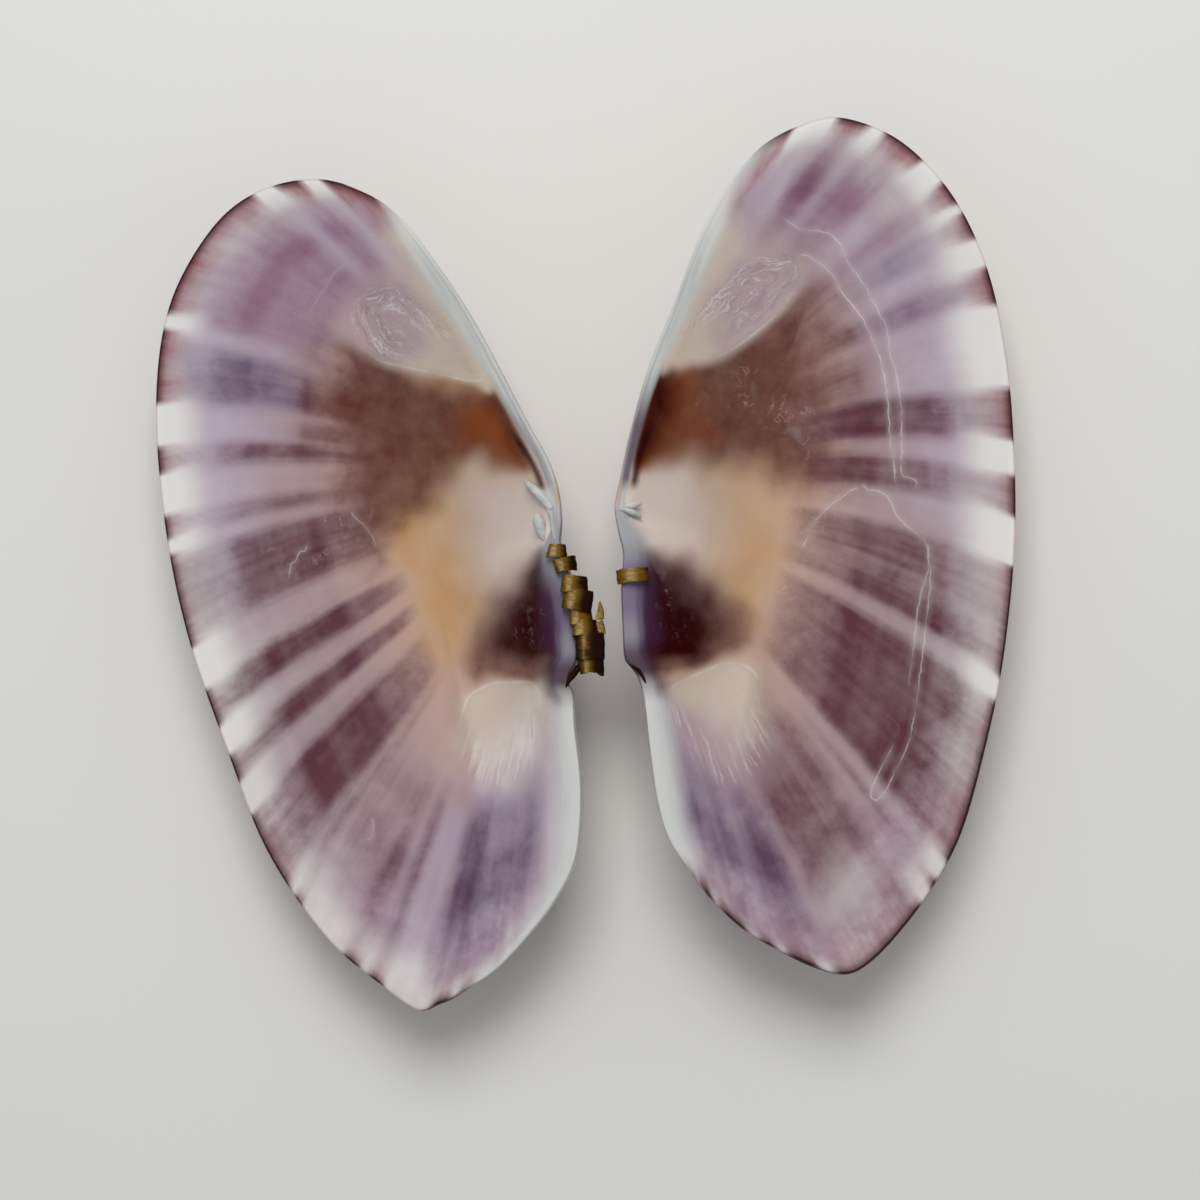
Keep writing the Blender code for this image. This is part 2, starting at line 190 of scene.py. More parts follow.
# A patch is (colour, strength, closed loop of (bearing, growth, how soft its edge is there in millimetres)).
LEFT_PATCHES = (
    ("lilac", 0.6, ((62, 0.62, 2.5), (40, 0.60, 2.5), (20, 0.66, 2.5), (0, 0.76, 2.2), (-16, 0.82, 1.8),
                    (-18, 0.90, 1.5), (0, 0.925, 1.4), (30, 0.935, 1.4), (62, 0.94, 1.6))),
    ("lilac", 0.6, ((-70, 0.62, 2.0), (-88, 0.56, 1.8), (-97, 0.75, 1.5), (-94, 0.97, 0.8), (-80, 0.96, 1.0),
                    (-68, 0.9, 1.8))),
    ("mauve", 0.4, ((-40, 0.92, 1.2), (-50, 0.86, 1.6), (-60, 0.88, 1.6), (-66, 0.82, 1.6), (-76, 0.86, 1.5),
                    (-90, 0.86, 1.2), (-96, 1.05, 0.8), (-80, 1.1, 0.8), (-60, 1.1, 0.8), (-42, 1.08, 0.8))),
    ("orange", 0.56, ((66, 0.06, 0.8), (45, 0.055, 0.8), (25, 0.09, 1.0), (10, 0.15, 1.5), (-2, 0.21, 1.8),
                      (-14, 0.225, 2.0), (-25, 0.235, 2.0), (-35, 0.24, 2.0), (-48, 0.25, 1.8), (-57, 0.28, 1.6),
                      (-62, 0.36, 1.8), (-57, 0.42, 2.0), (-45, 0.425, 2.0), (-33, 0.42, 2.0), (-25, 0.44, 2.0),
                      (-15, 0.45, 1.8), (0, 0.40, 1.4), (30, 0.35, 1.0), (50, 0.33, 0.8), (64, 0.30, 0.6))),
    ("amber", 0.5, ((-31, 0.30, 1.8), (-42, 0.28, 1.8), (-53, 0.295, 1.8), (-58, 0.34, 1.8), (-54, 0.385, 1.8),
                     (-42, 0.39, 1.8), (-31, 0.38, 1.8))),
    ("amber", 0.5, ((-8, 0.31, 1.6), (-18, 0.34, 1.6), (-27, 0.37, 1.3), (-24, 0.42, 1.1), (-14, 0.42, 1.1),
                    (-8, 0.37, 1.3))),
    ("brown", 0.9, ((61, 0.10, 0.5), (48, 0.085, 0.6), (35, 0.105, 0.9), (27, 0.14, 1.1), (20, 0.18, 1.3),
                     (10, 0.215, 1.4), (0, 0.255, 1.5), (-7, 0.30, 1.4), (-12, 0.36, 1.3), (-16.5, 0.42, 1.2),
                     (-20, 0.46, 1.3), (-23, 0.49, 1.6), (-15, 0.53, 2.2), (0, 0.54, 2.4), (12, 0.54, 2.4),
                     (24, 0.56, 2.4), (32, 0.56, 2.2), (36, 0.50, 1.3), (36, 0.40, 1.2), (41, 0.342, 1.2),
                     (46, 0.302, 1.2), (52, 0.274, 1.1), (60, 0.258, 0.7))),
    ("umber", 0.72, ((62, 0.105, 0.5), (45, 0.095, 0.7), (34, 0.12, 1.0), (27, 0.16, 1.2), (26, 0.21, 1.6),
                     (35, 0.245, 1.6), (46, 0.25, 1.2), (61, 0.25, 0.8))),
    ("amber", 0.6, ((34, 0.195, 1.0), (41, 0.165, 1.0), (48, 0.185, 0.8), (49, 0.225, 0.8), (42, 0.245, 1.0),
                     (35, 0.23, 1.2))),
    ("orange", 0.55, ((60, 0.25, 0.8), (50, 0.24, 1.2), (44, 0.27, 1.2), (44, 0.325, 0.8), (50, 0.31, 0.7),
                      (60, 0.30, 0.6))),
    ("dark_red", 0.6, ((62, 0.12, 0.6), (57, 0.20, 0.8), (53, 0.245, 0.9), (57, 0.275, 0.5), (62, 0.27, 0.4),
                       (64, 0.20, 0.5))),
    ("dark_red", 0.6, ((64, 0.12, 0.4), (57, 0.10, 0.6), (56, 0.15, 0.8), (58, 0.22, 0.7), (60, 0.28, 0.4),
                       (63, 0.24, 0.4))),
    ("brown", 0.8, ((-60, 0.25, 1.2), (-64, 0.17, 1.1), (-70, 0.115, 0.9), (-77, 0.095, 0.6), (-84, 0.10, 0.4),
                    (-90, 0.2, 0.3), (-95, 0.3, 0.3), (-95, 0.42, 0.3), (-88, 0.43, 0.4), (-82, 0.375, 0.4),
                    (-76, 0.345, 0.4), (-71, 0.355, 0.5), (-67, 0.385, 0.6), (-63, 0.37, 0.9), (-60, 0.32, 1.1))),
    ("violet", 0.2, ((-62, 0.25, 1.2), (-66, 0.17, 1.1), (-72, 0.16, 1.0), (-74, 0.24, 1.0), (-70, 0.32, 1.0),
                     (-64, 0.32, 1.1))),
    ("dark_red", 0.97, ((-69, 0.19, 1.2), (-74, 0.125, 0.8), (-80, 0.10, 0.5), (-86, 0.12, 0.4), (-92, 0.25, 0.4),
                        (-94, 0.38, 0.5), (-86, 0.355, 0.6), (-79, 0.315, 0.8), (-72, 0.30, 1.0),
                        (-69, 0.25, 1.1))),
    ("cream", 0.9, ((62, 0.305, 0.3), (53, 0.302, 0.35), (49, 0.312, 0.4), (44, 0.335, 0.45), (40, 0.365, 0.5),
                    (36, 0.41, 0.6), (33.5, 0.46, 0.8), (35, 0.52, 1.2), (39, 0.56, 1.6), (46, 0.585, 2.0),
                    (54, 0.62, 2.0), (57, 0.68, 1.8), (59, 0.76, 1.6), (64, 0.78, 1.4))),
    ("pearl", 0.75, ((49, 0.43, 1.6), (43, 0.395, 1.2), (37, 0.42, 0.9), (34.5, 0.46, 0.9), (36, 0.54, 1.4),
                     (42, 0.60, 1.8), (50, 0.63, 1.8), (57, 0.60, 1.6), (54, 0.5, 1.8))),
    ("cream", 0.9, ((-66.5, 0.43, 0.8), (-69, 0.395, 0.4), (-73, 0.362, 0.3), (-77, 0.357, 0.3), (-81, 0.37, 0.35),
                    (-86, 0.41, 0.5), (-93, 0.46, 0.6), (-95, 0.54, 1.2), (-84, 0.52, 2.0), (-78, 0.54, 1.8),
                    (-73, 0.53, 1.5), (-68.5, 0.49, 1.2))),
    ("white", 0.4, ((-77, 0.50, 1.6), (-83, 0.43, 1.2), (-92, 0.45, 1.0), (-96, 0.62, 1.6), (-88, 0.62, 1.8),
                    (-80, 0.58, 1.8))),
)
RIGHT_PATCHES = (
    ("lilac", 0.55, ((68, 0.66, 2.5), (45, 0.64, 2.5), (22, 0.68, 2.5), (0, 0.75, 2.2), (-4, 0.82, 1.8),
                     (0, 0.88, 1.6), (20, 0.885, 1.4), (32, 0.92, 1.4), (68, 0.93, 1.6))),
    ("lilac", 0.45, ((-66, 0.64, 1.8), (-78, 0.60, 1.5), (-84, 0.75, 1.5), (-80, 0.95, 1.0), (-68, 0.93, 1.5))),
    ("mauve", 0.5, ((-42, 0.93, 1.2), (-50, 0.82, 1.6), (-54, 0.84, 1.4), (-60, 0.92, 1.2), (-65, 0.86, 1.4),
                     (-72, 0.84, 1.4), (-80, 0.86, 1.2), (-86, 1.05, 0.8), (-70, 1.1, 0.8), (-44, 1.08, 0.8))),
    ("orange", 0.45, ((80, 0.06, 0.8), (60, 0.05, 0.8), (40, 0.075, 1.0), (22, 0.13, 1.5), (8, 0.20, 1.8),
                     (-5, 0.225, 2.0), (-20, 0.25, 2.0), (-32, 0.25, 2.0), (-42, 0.27, 1.8), (-50, 0.34, 1.8),
                     (-48, 0.405, 2.0), (-38, 0.41, 2.0), (-25, 0.425, 2.0), (-12, 0.44, 2.0), (-4, 0.46, 2.0),
                     (10, 0.45, 1.6), (40, 0.36, 1.0), (60, 0.31, 0.8), (76, 0.32, 0.5))),
    ("amber", 0.42, ((-20, 0.32, 1.8), (-35, 0.31, 1.8), (-44, 0.33, 1.8), (-44, 0.375, 1.8), (-34, 0.39, 1.8),
                     (-22, 0.385, 1.8))),
    ("brown", 0.12, ((46, 0.51, 1.4), (32, 0.49, 1.8), (16, 0.50, 1.8), (12, 0.60, 2.0), (30, 0.64, 1.8),
                    (46, 0.61, 1.4))),
    ("brown", 0.9, ((75, 0.13, 0.4), (68, 0.085, 0.5), (55, 0.08, 0.6), (45, 0.095, 0.9), (35, 0.12, 1.1),
                     (27, 0.155, 1.3), (19, 0.20, 1.4), (12, 0.24, 1.5), (6, 0.29, 1.5), (2, 0.35, 1.4),
                     (-1, 0.42, 1.6), (-2.5, 0.49, 2.0), (0, 0.54, 2.8), (8, 0.54, 3.0), (18, 0.53, 3.2),
                     (28, 0.54, 3.2), (38, 0.56, 2.6), (45, 0.56, 1.9), (47.5, 0.46, 1.2), (49, 0.40, 0.9),
                     (51, 0.368, 0.7), (55, 0.332, 0.7), (60, 0.308, 0.7), (66, 0.312, 0.6), (71, 0.352, 0.4),
                     (76, 0.31, 0.4))),
    ("umber", 0.75, ((76, 0.13, 0.4), (67, 0.09, 0.5), (52, 0.085, 0.8), (40, 0.11, 1.1), (32, 0.15, 1.5),
                     (36, 0.20, 1.8), (48, 0.24, 1.8), (58, 0.27, 1.4), (66, 0.30, 0.8), (76, 0.33, 0.4))),
    ("dark_red", 0.36, ((77, 0.10, 0.5), (64, 0.09, 0.6), (48, 0.11, 1.0), (42, 0.16, 1.4), (50, 0.23, 1.2),
                        (60, 0.26, 0.9), (72, 0.35, 0.4), (77, 0.3, 0.4))),
    ("dark_red", 0.88, ((77, 0.13, 0.5), (68, 0.11, 0.6), (58, 0.12, 1.0), (55, 0.18, 1.2), (62, 0.25, 1.1),
                        (67, 0.285, 0.7), (71, 0.355, 0.4), (77, 0.3, 0.4))),
    ("brown", 0.85, ((-42, 0.32, 1.3), (-45, 0.24, 1.3), (-50, 0.17, 1.2), (-57, 0.115, 0.9), (-64, 0.10, 0.7),
                     (-70, 0.12, 0.5), (-76, 0.2, 0.4), (-80, 0.3, 0.35), (-84, 0.42, 0.3), (-77, 0.43, 0.4),
                     (-72, 0.385, 0.4), (-67, 0.362, 0.4), (-62, 0.355, 0.4), (-57, 0.365, 0.5), (-53, 0.385, 0.7),
                     (-49, 0.395, 0.9), (-45, 0.375, 1.2))),
    ("violet", 0.2, ((-44, 0.33, 1.2), (-46, 0.25, 1.2), (-52, 0.17, 1.1), (-58, 0.2, 1.0), (-57, 0.28, 1.0),
                      (-51, 0.33, 1.1))),
    ("dark_red", 1.0, ((-52, 0.19, 1.4), (-59, 0.12, 1.0), (-66, 0.105, 0.6), (-72, 0.14, 0.5), (-78, 0.22, 0.4),
                       (-84, 0.38, 0.4), (-78, 0.40, 0.5), (-71, 0.352, 0.5), (-65, 0.335, 0.7), (-59, 0.32, 1.0),
                       (-52, 0.28, 1.4))),
    ("cream", 0.9, ((75, 0.36, 0.4), (68, 0.33, 0.4), (62, 0.31, 0.5), (56, 0.315, 0.5), (51, 0.355, 0.6),
                    (48.5, 0.40, 0.5), (47, 0.46, 0.4), (46.5, 0.52, 0.4), (48.5, 0.58, 0.6), (52, 0.615, 1.0),
                    (58, 0.60, 1.6), (64, 0.62, 1.8), (67, 0.69, 1.6), (69, 0.77, 1.5), (76, 0.79, 1.3))),
    ("pearl", 0.75, ((61, 0.41, 1.8), (54, 0.35, 1.2), (49.5, 0.40, 0.8), (47.5, 0.47, 0.7), (48, 0.55, 0.8),
                     (52, 0.62, 1.4), (60, 0.62, 1.8), (64, 0.52, 1.8))),
    ("cream", 0.92, ((-52.5, 0.44, 0.9), (-55, 0.40, 0.5), (-59, 0.373, 0.3), (-64, 0.362, 0.3), (-69, 0.385, 0.3),
                     (-75, 0.44, 0.35), (-80, 0.51, 0.6), (-78, 0.54, 1.2), (-70, 0.525, 1.6), (-64, 0.53, 1.8),
                     (-58, 0.52, 1.6), (-54, 0.48, 1.2))),
    ("pearl", 0.5, ((-60, 0.55, 1.6), (-68, 0.47, 1.5), (-78, 0.50, 1.0), (-82, 0.58, 1.2), (-74, 0.62, 1.6),
                    (-64, 0.62, 1.6))),
    ("white", 0.2, ((-56.5, 0.86, 1.5), (-58, 0.82, 1.5), (-62, 0.82, 1.5), (-63.5, 0.86, 1.5), (-62, 0.90, 1.5),
                     (-58, 0.90, 1.5))),
)

# Where the margin is white, as (front bearing, rear bearing). It is maroon between.
LEFT_WHITE = (
    (120, 60.5), (55.6, 52.8), (49.9, 46.5), (27.2, 24.9), (15.1, 8.9), (5.3, -1.1), (-4.4, -6.9), (-21.2, -27.9),
    (-33.6, -37.9), (-41.5, -46.2), (-55.6, -57.0), (-58.2, -65.6), (-67.5, -69.2), (-70.9, -77.0), (-78.8, -79.8),
    (-81.4, -83.4), (-84.5, -85.4), (-86.4, -88.9), (-89.8, -140),
)
RIGHT_WHITE = (
    (120, 71.0), (66.0, 60.9), (57.3, 54.9), (49.5, 45.5), (42.4, 41.0), (37.6, 33.6), (28.8, 17.1), (10.0, 4.6),
    (-1.3, -8.6), (-24.1, -27.5), (-47.8, -50.2), (-51.1, -53.4), (-65.6, -67.3), (-69.8, -71.2), (-72.5, -74.0),
    (-76.4, -77.4), (-78.4, -79.4), (-81.0, -140),
)

# How far inwards the white of the margin reaches, and how strong it is: (bearing, growth, strength).
LEFT_WHITE_START = ((66, 1.0, 0.8), (58, 0.93, 0.9), (40, 0.925, 0.9), (12, 0.905, 0.95), (-2, 0.91, 0.92),
                    (-24, 0.91, 0.8), (-44, 0.91, 0.7), (-60, 0.91, 0.5), (-68, 0.94, 0.35), (-74, 0.90, 0.45),
                    (-77, 0.965, 0.4), (-90, 0.985, 0.5))
RIGHT_WHITE_START = ((73, 1.04, 0.8), (65, 0.93, 0.9), (48, 0.925, 0.9), (36, 0.90, 0.9), (24, 0.865, 0.95),
                     (18, 0.88, 0.95), (8, 0.885, 0.95), (-5, 0.885, 0.95), (-26, 0.92, 0.85), (-50, 0.945, 0.55),
                     (-63, 0.98, 0.35), (-80, 0.99, 0.35))

# The muscle scars, as closed loops of (bearing, growth).
LEFT_SCARS = {
    "scar_front": ((58, 0.32), (54, 0.303), (49, 0.312), (44, 0.335), (40, 0.365), (36, 0.41), (33.5, 0.46),
                   (35, 0.52), (39, 0.57), (46, 0.60), (53, 0.58), (57, 0.50), (59, 0.41)),
    "scar_rear": ((-67, 0.43), (-69, 0.395), (-73, 0.362), (-77, 0.357), (-81, 0.37), (-86, 0.41), (-90, 0.53),
                  (-87, 0.62), (-82, 0.60), (-77, 0.57), (-72, 0.55), (-68.5, 0.50)),
}
RIGHT_SCARS = {
    "scar_front": ((72, 0.38), (67, 0.33), (61, 0.31), (55, 0.32), (50.5, 0.36), (48, 0.41), (46.7, 0.47),
                   (46.8, 0.54), (49, 0.59), (52.5, 0.62), (57, 0.60), (63, 0.56), (69, 0.47)),
    "scar_rear": ((-53, 0.44), (-55, 0.40), (-59, 0.373), (-64, 0.362), (-69, 0.385), (-75, 0.44), (-80, 0.54),
                  (-78, 0.62), (-73, 0.65), (-68, 0.62), (-62, 0.58), (-57, 0.545), (-54, 0.50)),
}

# The thin lines where the mantle was attached, as (strength, open lines of (bearing, growth)).
LEFT_LINES = (
    (0.3, ((48, 0.685), (45, 0.675), (41, 0.662), (37, 0.655), (33, 0.652))),
    (0.7, ((-13.2, 0.645), (-14.6, 0.655), (-14.2, 0.67), (-15.6, 0.68), (-16.4, 0.70), (-18.5, 0.715))),
    (0.5, ((-60.5, 0.755), (-61.5, 0.765), (-62.0, 0.78), (-61.4, 0.795))),
    (0.5, ((-20, 0.47), (-16, 0.475), (-12, 0.495), (-8.5, 0.52))),
    (0.8, ((59, 0.312), (54, 0.304), (50, 0.308), (47.5, 0.32))),
)
RIGHT_LINES = (
    (1.0, ((52.5, 0.615), (50, 0.628), (45, 0.636), (40, 0.633), (36, 0.642), (32, 0.655), (27, 0.667), (22, 0.676),
           (17, 0.679), (10, 0.681), (4, 0.687), (-1, 0.692))),
    (0.85, ((60, 0.690), (57.5, 0.678), (55, 0.672), (52.5, 0.688), (50, 0.699), (47, 0.694), (44, 0.682),
            (40, 0.686), (36, 0.690), (31, 0.700), (28, 0.704), (25, 0.702), (20, 0.709), (15, 0.713), (9, 0.710),
            (4, 0.708), (1.5, 0.712), (0.5, 0.745), (-1.5, 0.738))),
    (0.75, ((-1, 0.60), (-2.5, 0.625), (-2.8, 0.655), (-4, 0.68), (-6.5, 0.695), (-8, 0.72), (-8.8, 0.745),
            (-10, 0.775), (-14, 0.79), (-20, 0.776), (-27, 0.780), (-35, 0.793))),
    (0.75, ((-9, 0.775), (-12, 0.788), (-17, 0.798), (-22, 0.799), (-28, 0.805), (-34, 0.815), (-40, 0.823),
            (-45, 0.815), (-49, 0.812), (-50.2, 0.800), (-49.5, 0.785), (-45, 0.786), (-42, 0.789))),
    (0.6, ((-2.5, 0.60), (-3.5, 0.575), (-6, 0.545), (-9, 0.515), (-12, 0.492), (-16, 0.478), (-20, 0.468))),
)

# Where small whitish flecks lie, as closed loops of (bearing, growth).
LEFT_FLECKS = (
    ((-74, 0.15), (-84, 0.14), (-88, 0.24), (-84, 0.31), (-76, 0.27)),
    ((-6, 0.60), (-10, 0.50), (-20, 0.48), (-22, 0.60), (-20, 0.74), (-10, 0.76)),
)
RIGHT_FLECKS = (
    ((52, 0.22), (36, 0.26), (24, 0.30), (8, 0.38), (4, 0.46), (16, 0.50), (34, 0.45), (46, 0.36)),
    ((-56, 0.17), (-66, 0.14), (-75, 0.18), (-77, 0.27), (-68, 0.29), (-58, 0.26)),
    ((0, 0.66), (-2, 0.54), (-10, 0.44), (-24, 0.41), (-50, 0.40), (-52, 0.48), (-24, 0.49), (-8, 0.56)),
)

# How wide the pale band on the hinge edge is, as (y in the valve's frame, width), in millimetres.
BAND_WIDTH = ((-25.0, 0.3), (-22.5, 0.45), (-20.0, 0.6), (-17.5, 1.0), (-15.0, 1.45), (-12.0, 1.5), (-9.0, 1.25),
              (-7.0, 1.0), (1.0, 0.8), (2.0, 0.55), (4.0, 0.5), (7.0, 0.62), (10.0, 0.75), (13.0, 0.95),
              (16.0, 1.2), (18.0, 1.0), (20.0, 0.7), (22.0, 0.5), (23.5, 0.4))

# How each valve lies: where its frame is, in millimetres, how far its free edge leans down and its front end lifts.
# The pole is the beak that the bearings turn about, and the bearings in ends are the last where the margin still
# faces the beak. The hinge side runs between the two outline points in hinge, by their order, and the platform of the
# ligament and the pale band between two y values each. Turn is how far the markings are turned about the beak, as
# (bearing, degrees at the margin).
# teeth_shade is how strongly painted shade darkens the flat edge by the teeth, and how much steel lightens the
# platform's front end.
VALVES = (
    {
        "node": "left_valve", "out": -1.0, "outline": LEFT_OUTLINE, "beak": (8.5, 3.1), "pole": (8.3, 3.3),
        "ends": (-93.0, 57.5), "place": (-9.83, -0.55, 6.55), "lift": math.radians(2.0), "lean": math.radians(-6.7),
        "rays": LEFT_RAYS, "patches": LEFT_PATCHES, "white": LEFT_WHITE, "white_start": LEFT_WHITE_START,
        "scars": LEFT_SCARS, "lines": LEFT_LINES, "flecks": LEFT_FLECKS, "hinge": (1.5, 27.0),
        "platform": (0.9, -7.9), "band_ends": (20.8, -24.0), "teeth_shade": 0.5,
        "turn": ((-95, 0.0), (-82, 0.5), (-65, 0.8), (-45, 1.3), (-30, 1.55), (-10, 1.5), (5, 1.3), (25, 1.1),
                 (35, 0.7), (50, 0.4), (58, 0.0)),
    },
    {
        "node": "right_valve", "out": 1.0, "outline": RIGHT_OUTLINE, "beak": (-9.0, 1.6), "pole": (-9.1, 1.6),
        "ends": (-79.0, 69.0), "place": (11.85, 1.07, 6.55), "lift": math.radians(0.3), "lean": math.radians(7.2),
        "rays": RIGHT_RAYS, "patches": RIGHT_PATCHES, "white": RIGHT_WHITE, "white_start": RIGHT_WHITE_START,
        "scars": RIGHT_SCARS, "lines": RIGHT_LINES, "flecks": RIGHT_FLECKS, "hinge": (0.5, 24.5),
        "platform": (0.8, -9.1), "band_ends": (23.0, -19.0), "teeth_shade": 0.85,
        "turn": ((-82, 0.0), (-20, 0.0), (0, 0.3), (20, 0.4), (60, 0.4), (70, 0.0)),
    },
)

# The hinge teeth and the ridge below the beak, as (side, points (x, y, z, radius)) in millimetres.
RIDGES = (
    (0, ((6.95, 4.85, -0.45, 0.14), (7.45, 4.40, -0.22, 0.26), (8.05, 3.85, -0.12, 0.30), (8.55, 3.15, -0.06, 0.20))),
    (0, ((7.60, 2.95, -0.40, 0.14), (7.75, 2.45, -0.28, 0.36), (7.90, 1.90, -0.32, 0.28), (8.05, 1.40, -0.32, 0.10))),
    (0, ((8.45, 3.25, -0.05, 0.18), (8.56, 2.60, -0.06, 0.15), (8.64, 2.00, -0.08, 0.13), (8.76, 1.10, -0.10, 0.06))),
    (1, ((-9.35, 1.60, -0.08, 0.12), (-9.00, 1.62, -0.04, 0.17), (-8.60, 1.72, -0.06, 0.19), (-8.10, 1.88, -0.30, 0.12))),
    (1, ((-9.35, 1.52, -0.08, 0.12), (-9.00, 1.46, -0.04, 0.16), (-8.60, 1.32, -0.08, 0.18), (-8.10, 1.12, -0.34, 0.12))),
)

# The colours that are laid over the ground, in this order.
PIGMENTS = ("lilac", "mauve", "orange", "amber", "brown", "umber", "violet", "plum", "dark_red", "cream", "pearl",
            "white")
LINE_COUNT = 5
FAR = 9.0

# Where the large soft light hangs, in metres.
KEY_PLACE = Vector((0.0, 0.15, 0.26))


def linear(red, green, blue):
    """A colour from 0 to 255 as light, from 0 to 1."""
    shares = np.array((red, green, blue)) / 255
    return tuple(float(v) for v in np.where(shares <= 0.04045, shares / 12.92, ((shares + 0.055) / 1.055) ** 2.4))


def colour_property(name, description, red, green, blue):
    return bpy.props.FloatVectorProperty(
        name=name, description=description, default=linear(red, green, blue), subtype="COLOR", size=3, min=0, max=1
    )


def length_property(name, description, millimetres):
    return bpy.props.FloatProperty(
        name=name, description=description, default=millimetres * MM, subtype="DISTANCE", unit="LENGTH", min=0,
        precision=5,
    )


def share_property(name, description, default, most=1.0):
    return bpy.props.FloatProperty(
        name=name, description=description, default=default, subtype="FACTOR", min=0, max=most
    )


# Besides their own places, some colours are also laid on as painted light: cream and white lift the steep wall beside
# the hinge band, white marks highlights in the scars, steel a highlight on the ligament's platform, and dark red and
# deep violet paint shade under the hinge plate, by the teeth and at the platform's rear end.
class ShellColours(bpy.types.PropertyGroup):
    lilac: colour_property("Lilac", "Veil over the front end", 192, 177, 194)
    mauve: colour_property("Mauve", "Soft rays at the front end", 144, 106, 126)
    orange: colour_property("Orange glow", "Warm ring round the pale middle", 204, 166, 120)
    amber: colour_property("Amber", "Deepest part of the warm ring", 180, 130, 72)
    brown: colour_property("Brown", "The wedges beside the beak", 102, 58, 50)
    umber: colour_property("Umber", "The front wedge at the hinge", 150, 74, 24)
    violet: colour_property("Violet", "Blue-purple rays", 92, 70, 98)
    plum: colour_property("Plum", "Dark rays", 94, 53, 64)
    dark_red: colour_property("Dark red", "The rear wedge at the hinge", 48, 2, 3)
    cream: colour_property("Cream", "Upper parts of the muscle scars", 210, 196, 180)
    pearl: colour_property("Pearl", "Lower parts of the muscle scars", 172, 150, 162)
    white: colour_property("White", "White stretches of the margin and the rear edge", 234, 233, 229)
    maroon: colour_property("Maroon", "Dark stretches of the margin", 148, 84, 86)
    ink: colour_property("Ink", "The line at the very edge", 44, 8, 14)
    steel: colour_property("Steel", "The front hinge edge", 178, 184, 180)
    slate: colour_property("Slate", "The outer half of the ligament's platform", 116, 107, 134)
    deep_violet: colour_property("Deep violet", "The inner half of the ligament's platform", 70, 44, 72)
    outside_ground: colour_property("Outside ground", "The outer face between its rays", 222, 196, 190)


class ShellSizes(bpy.types.PropertyGroup):
    scar_depth: length_property("Scar depth", "How far the muscle scars are sunk", 0.05)
    line_height: length_property("Line height", "How high the mantle line stands", 0.03)
    ripple_height: length_property("Ripple height", "Height of the ripples in the scars", 0.02)
    growth_height: length_property("Growth line height", "Height of the growth lines outside", 0.03)
    roughness: share_property("Roughness", "Roughness of the inner face", 0.34)
    gloss: share_property("Gloss", "Specular level of the inner face", 0.05)


class LigamentLook(bpy.types.PropertyGroup):
    # The ligament's amber is painted with light and shade: lit gold along the top of each arch, near-black brown as
    # painted shade down its sides, and pale for painted glints along the top and for the pale flakes.
    gold: colour_property("Gold", "Where the ligament is thin", 108, 76, 16)
    shaded_brown: colour_property("Dark", "Where the ligament is thick", 32, 12, 2)
    pale: colour_property("Pale", "Dry, flaked places", 190, 166, 112)
    thickness: length_property("Thickness", "Thickness of a scrap", 0.13)


class StageLook(bpy.types.PropertyGroup):
    floor: colour_property("Floor", "The plain floor", 228, 227, 222)
    floor_size: length_property("Floor size", "Side of the square floor", 1600.0)
    key_power: bpy.props.FloatProperty(
        name="Key power", description="Power of the large soft light", default=0.56, unit="POWER", min=0
    )
    key_size: length_property("Key size", "Side of the large soft light", 170.0)
    sky: share_property("Sky", "Strength of the light from all sides", 0.40, 5.0)


class Value:
    """A socket of a node tree. Arithmetic on it adds Math nodes."""

    def __init__(self, tree, socket):
        self.tree = tree
        self.socket = socket

    def math(self, operation, *others):
        return self.tree.node("ShaderNodeMath", {"operation": operation}, dict(enumerate((self, *others))))

    def __add__(self, other):
        return self.math("ADD", other)

    __radd__ = __add__

    def __sub__(self, other):
        return self.math("SUBTRACT", other)

    def __rsub__(self, other):
        return self.tree.node("ShaderNodeMath", {"operation": "SUBTRACT"}, {0: other, 1: self})

    def __mul__(self, other):
        return self.math("MULTIPLY", other)

    __rmul__ = __mul__

    def __abs__(self):
        return self.math("ABSOLUTE")

    def wave(self):
        return self.math("SINE")

    def least(self, other):
        return self.math("MINIMUM", other)

    def most(self, other):
        return self.math("MAXIMUM", other)

    def rise(self, start, end):
        """0 before start, 1 after end, and smooth between. Start may be after end."""
        return self.tree.node(
            "ShaderNodeMapRange", {"interpolation_type": "SMOOTHSTEP"},
            {"Value": self, "From Min": start, "From Max": end, "To Min": 0.0, "To Max": 1.0},
        )

    def bump(self, place, width):
        """1 at the place, falling to 0 this far either side of it."""
        return abs(self - place).rise(width, 0.0)


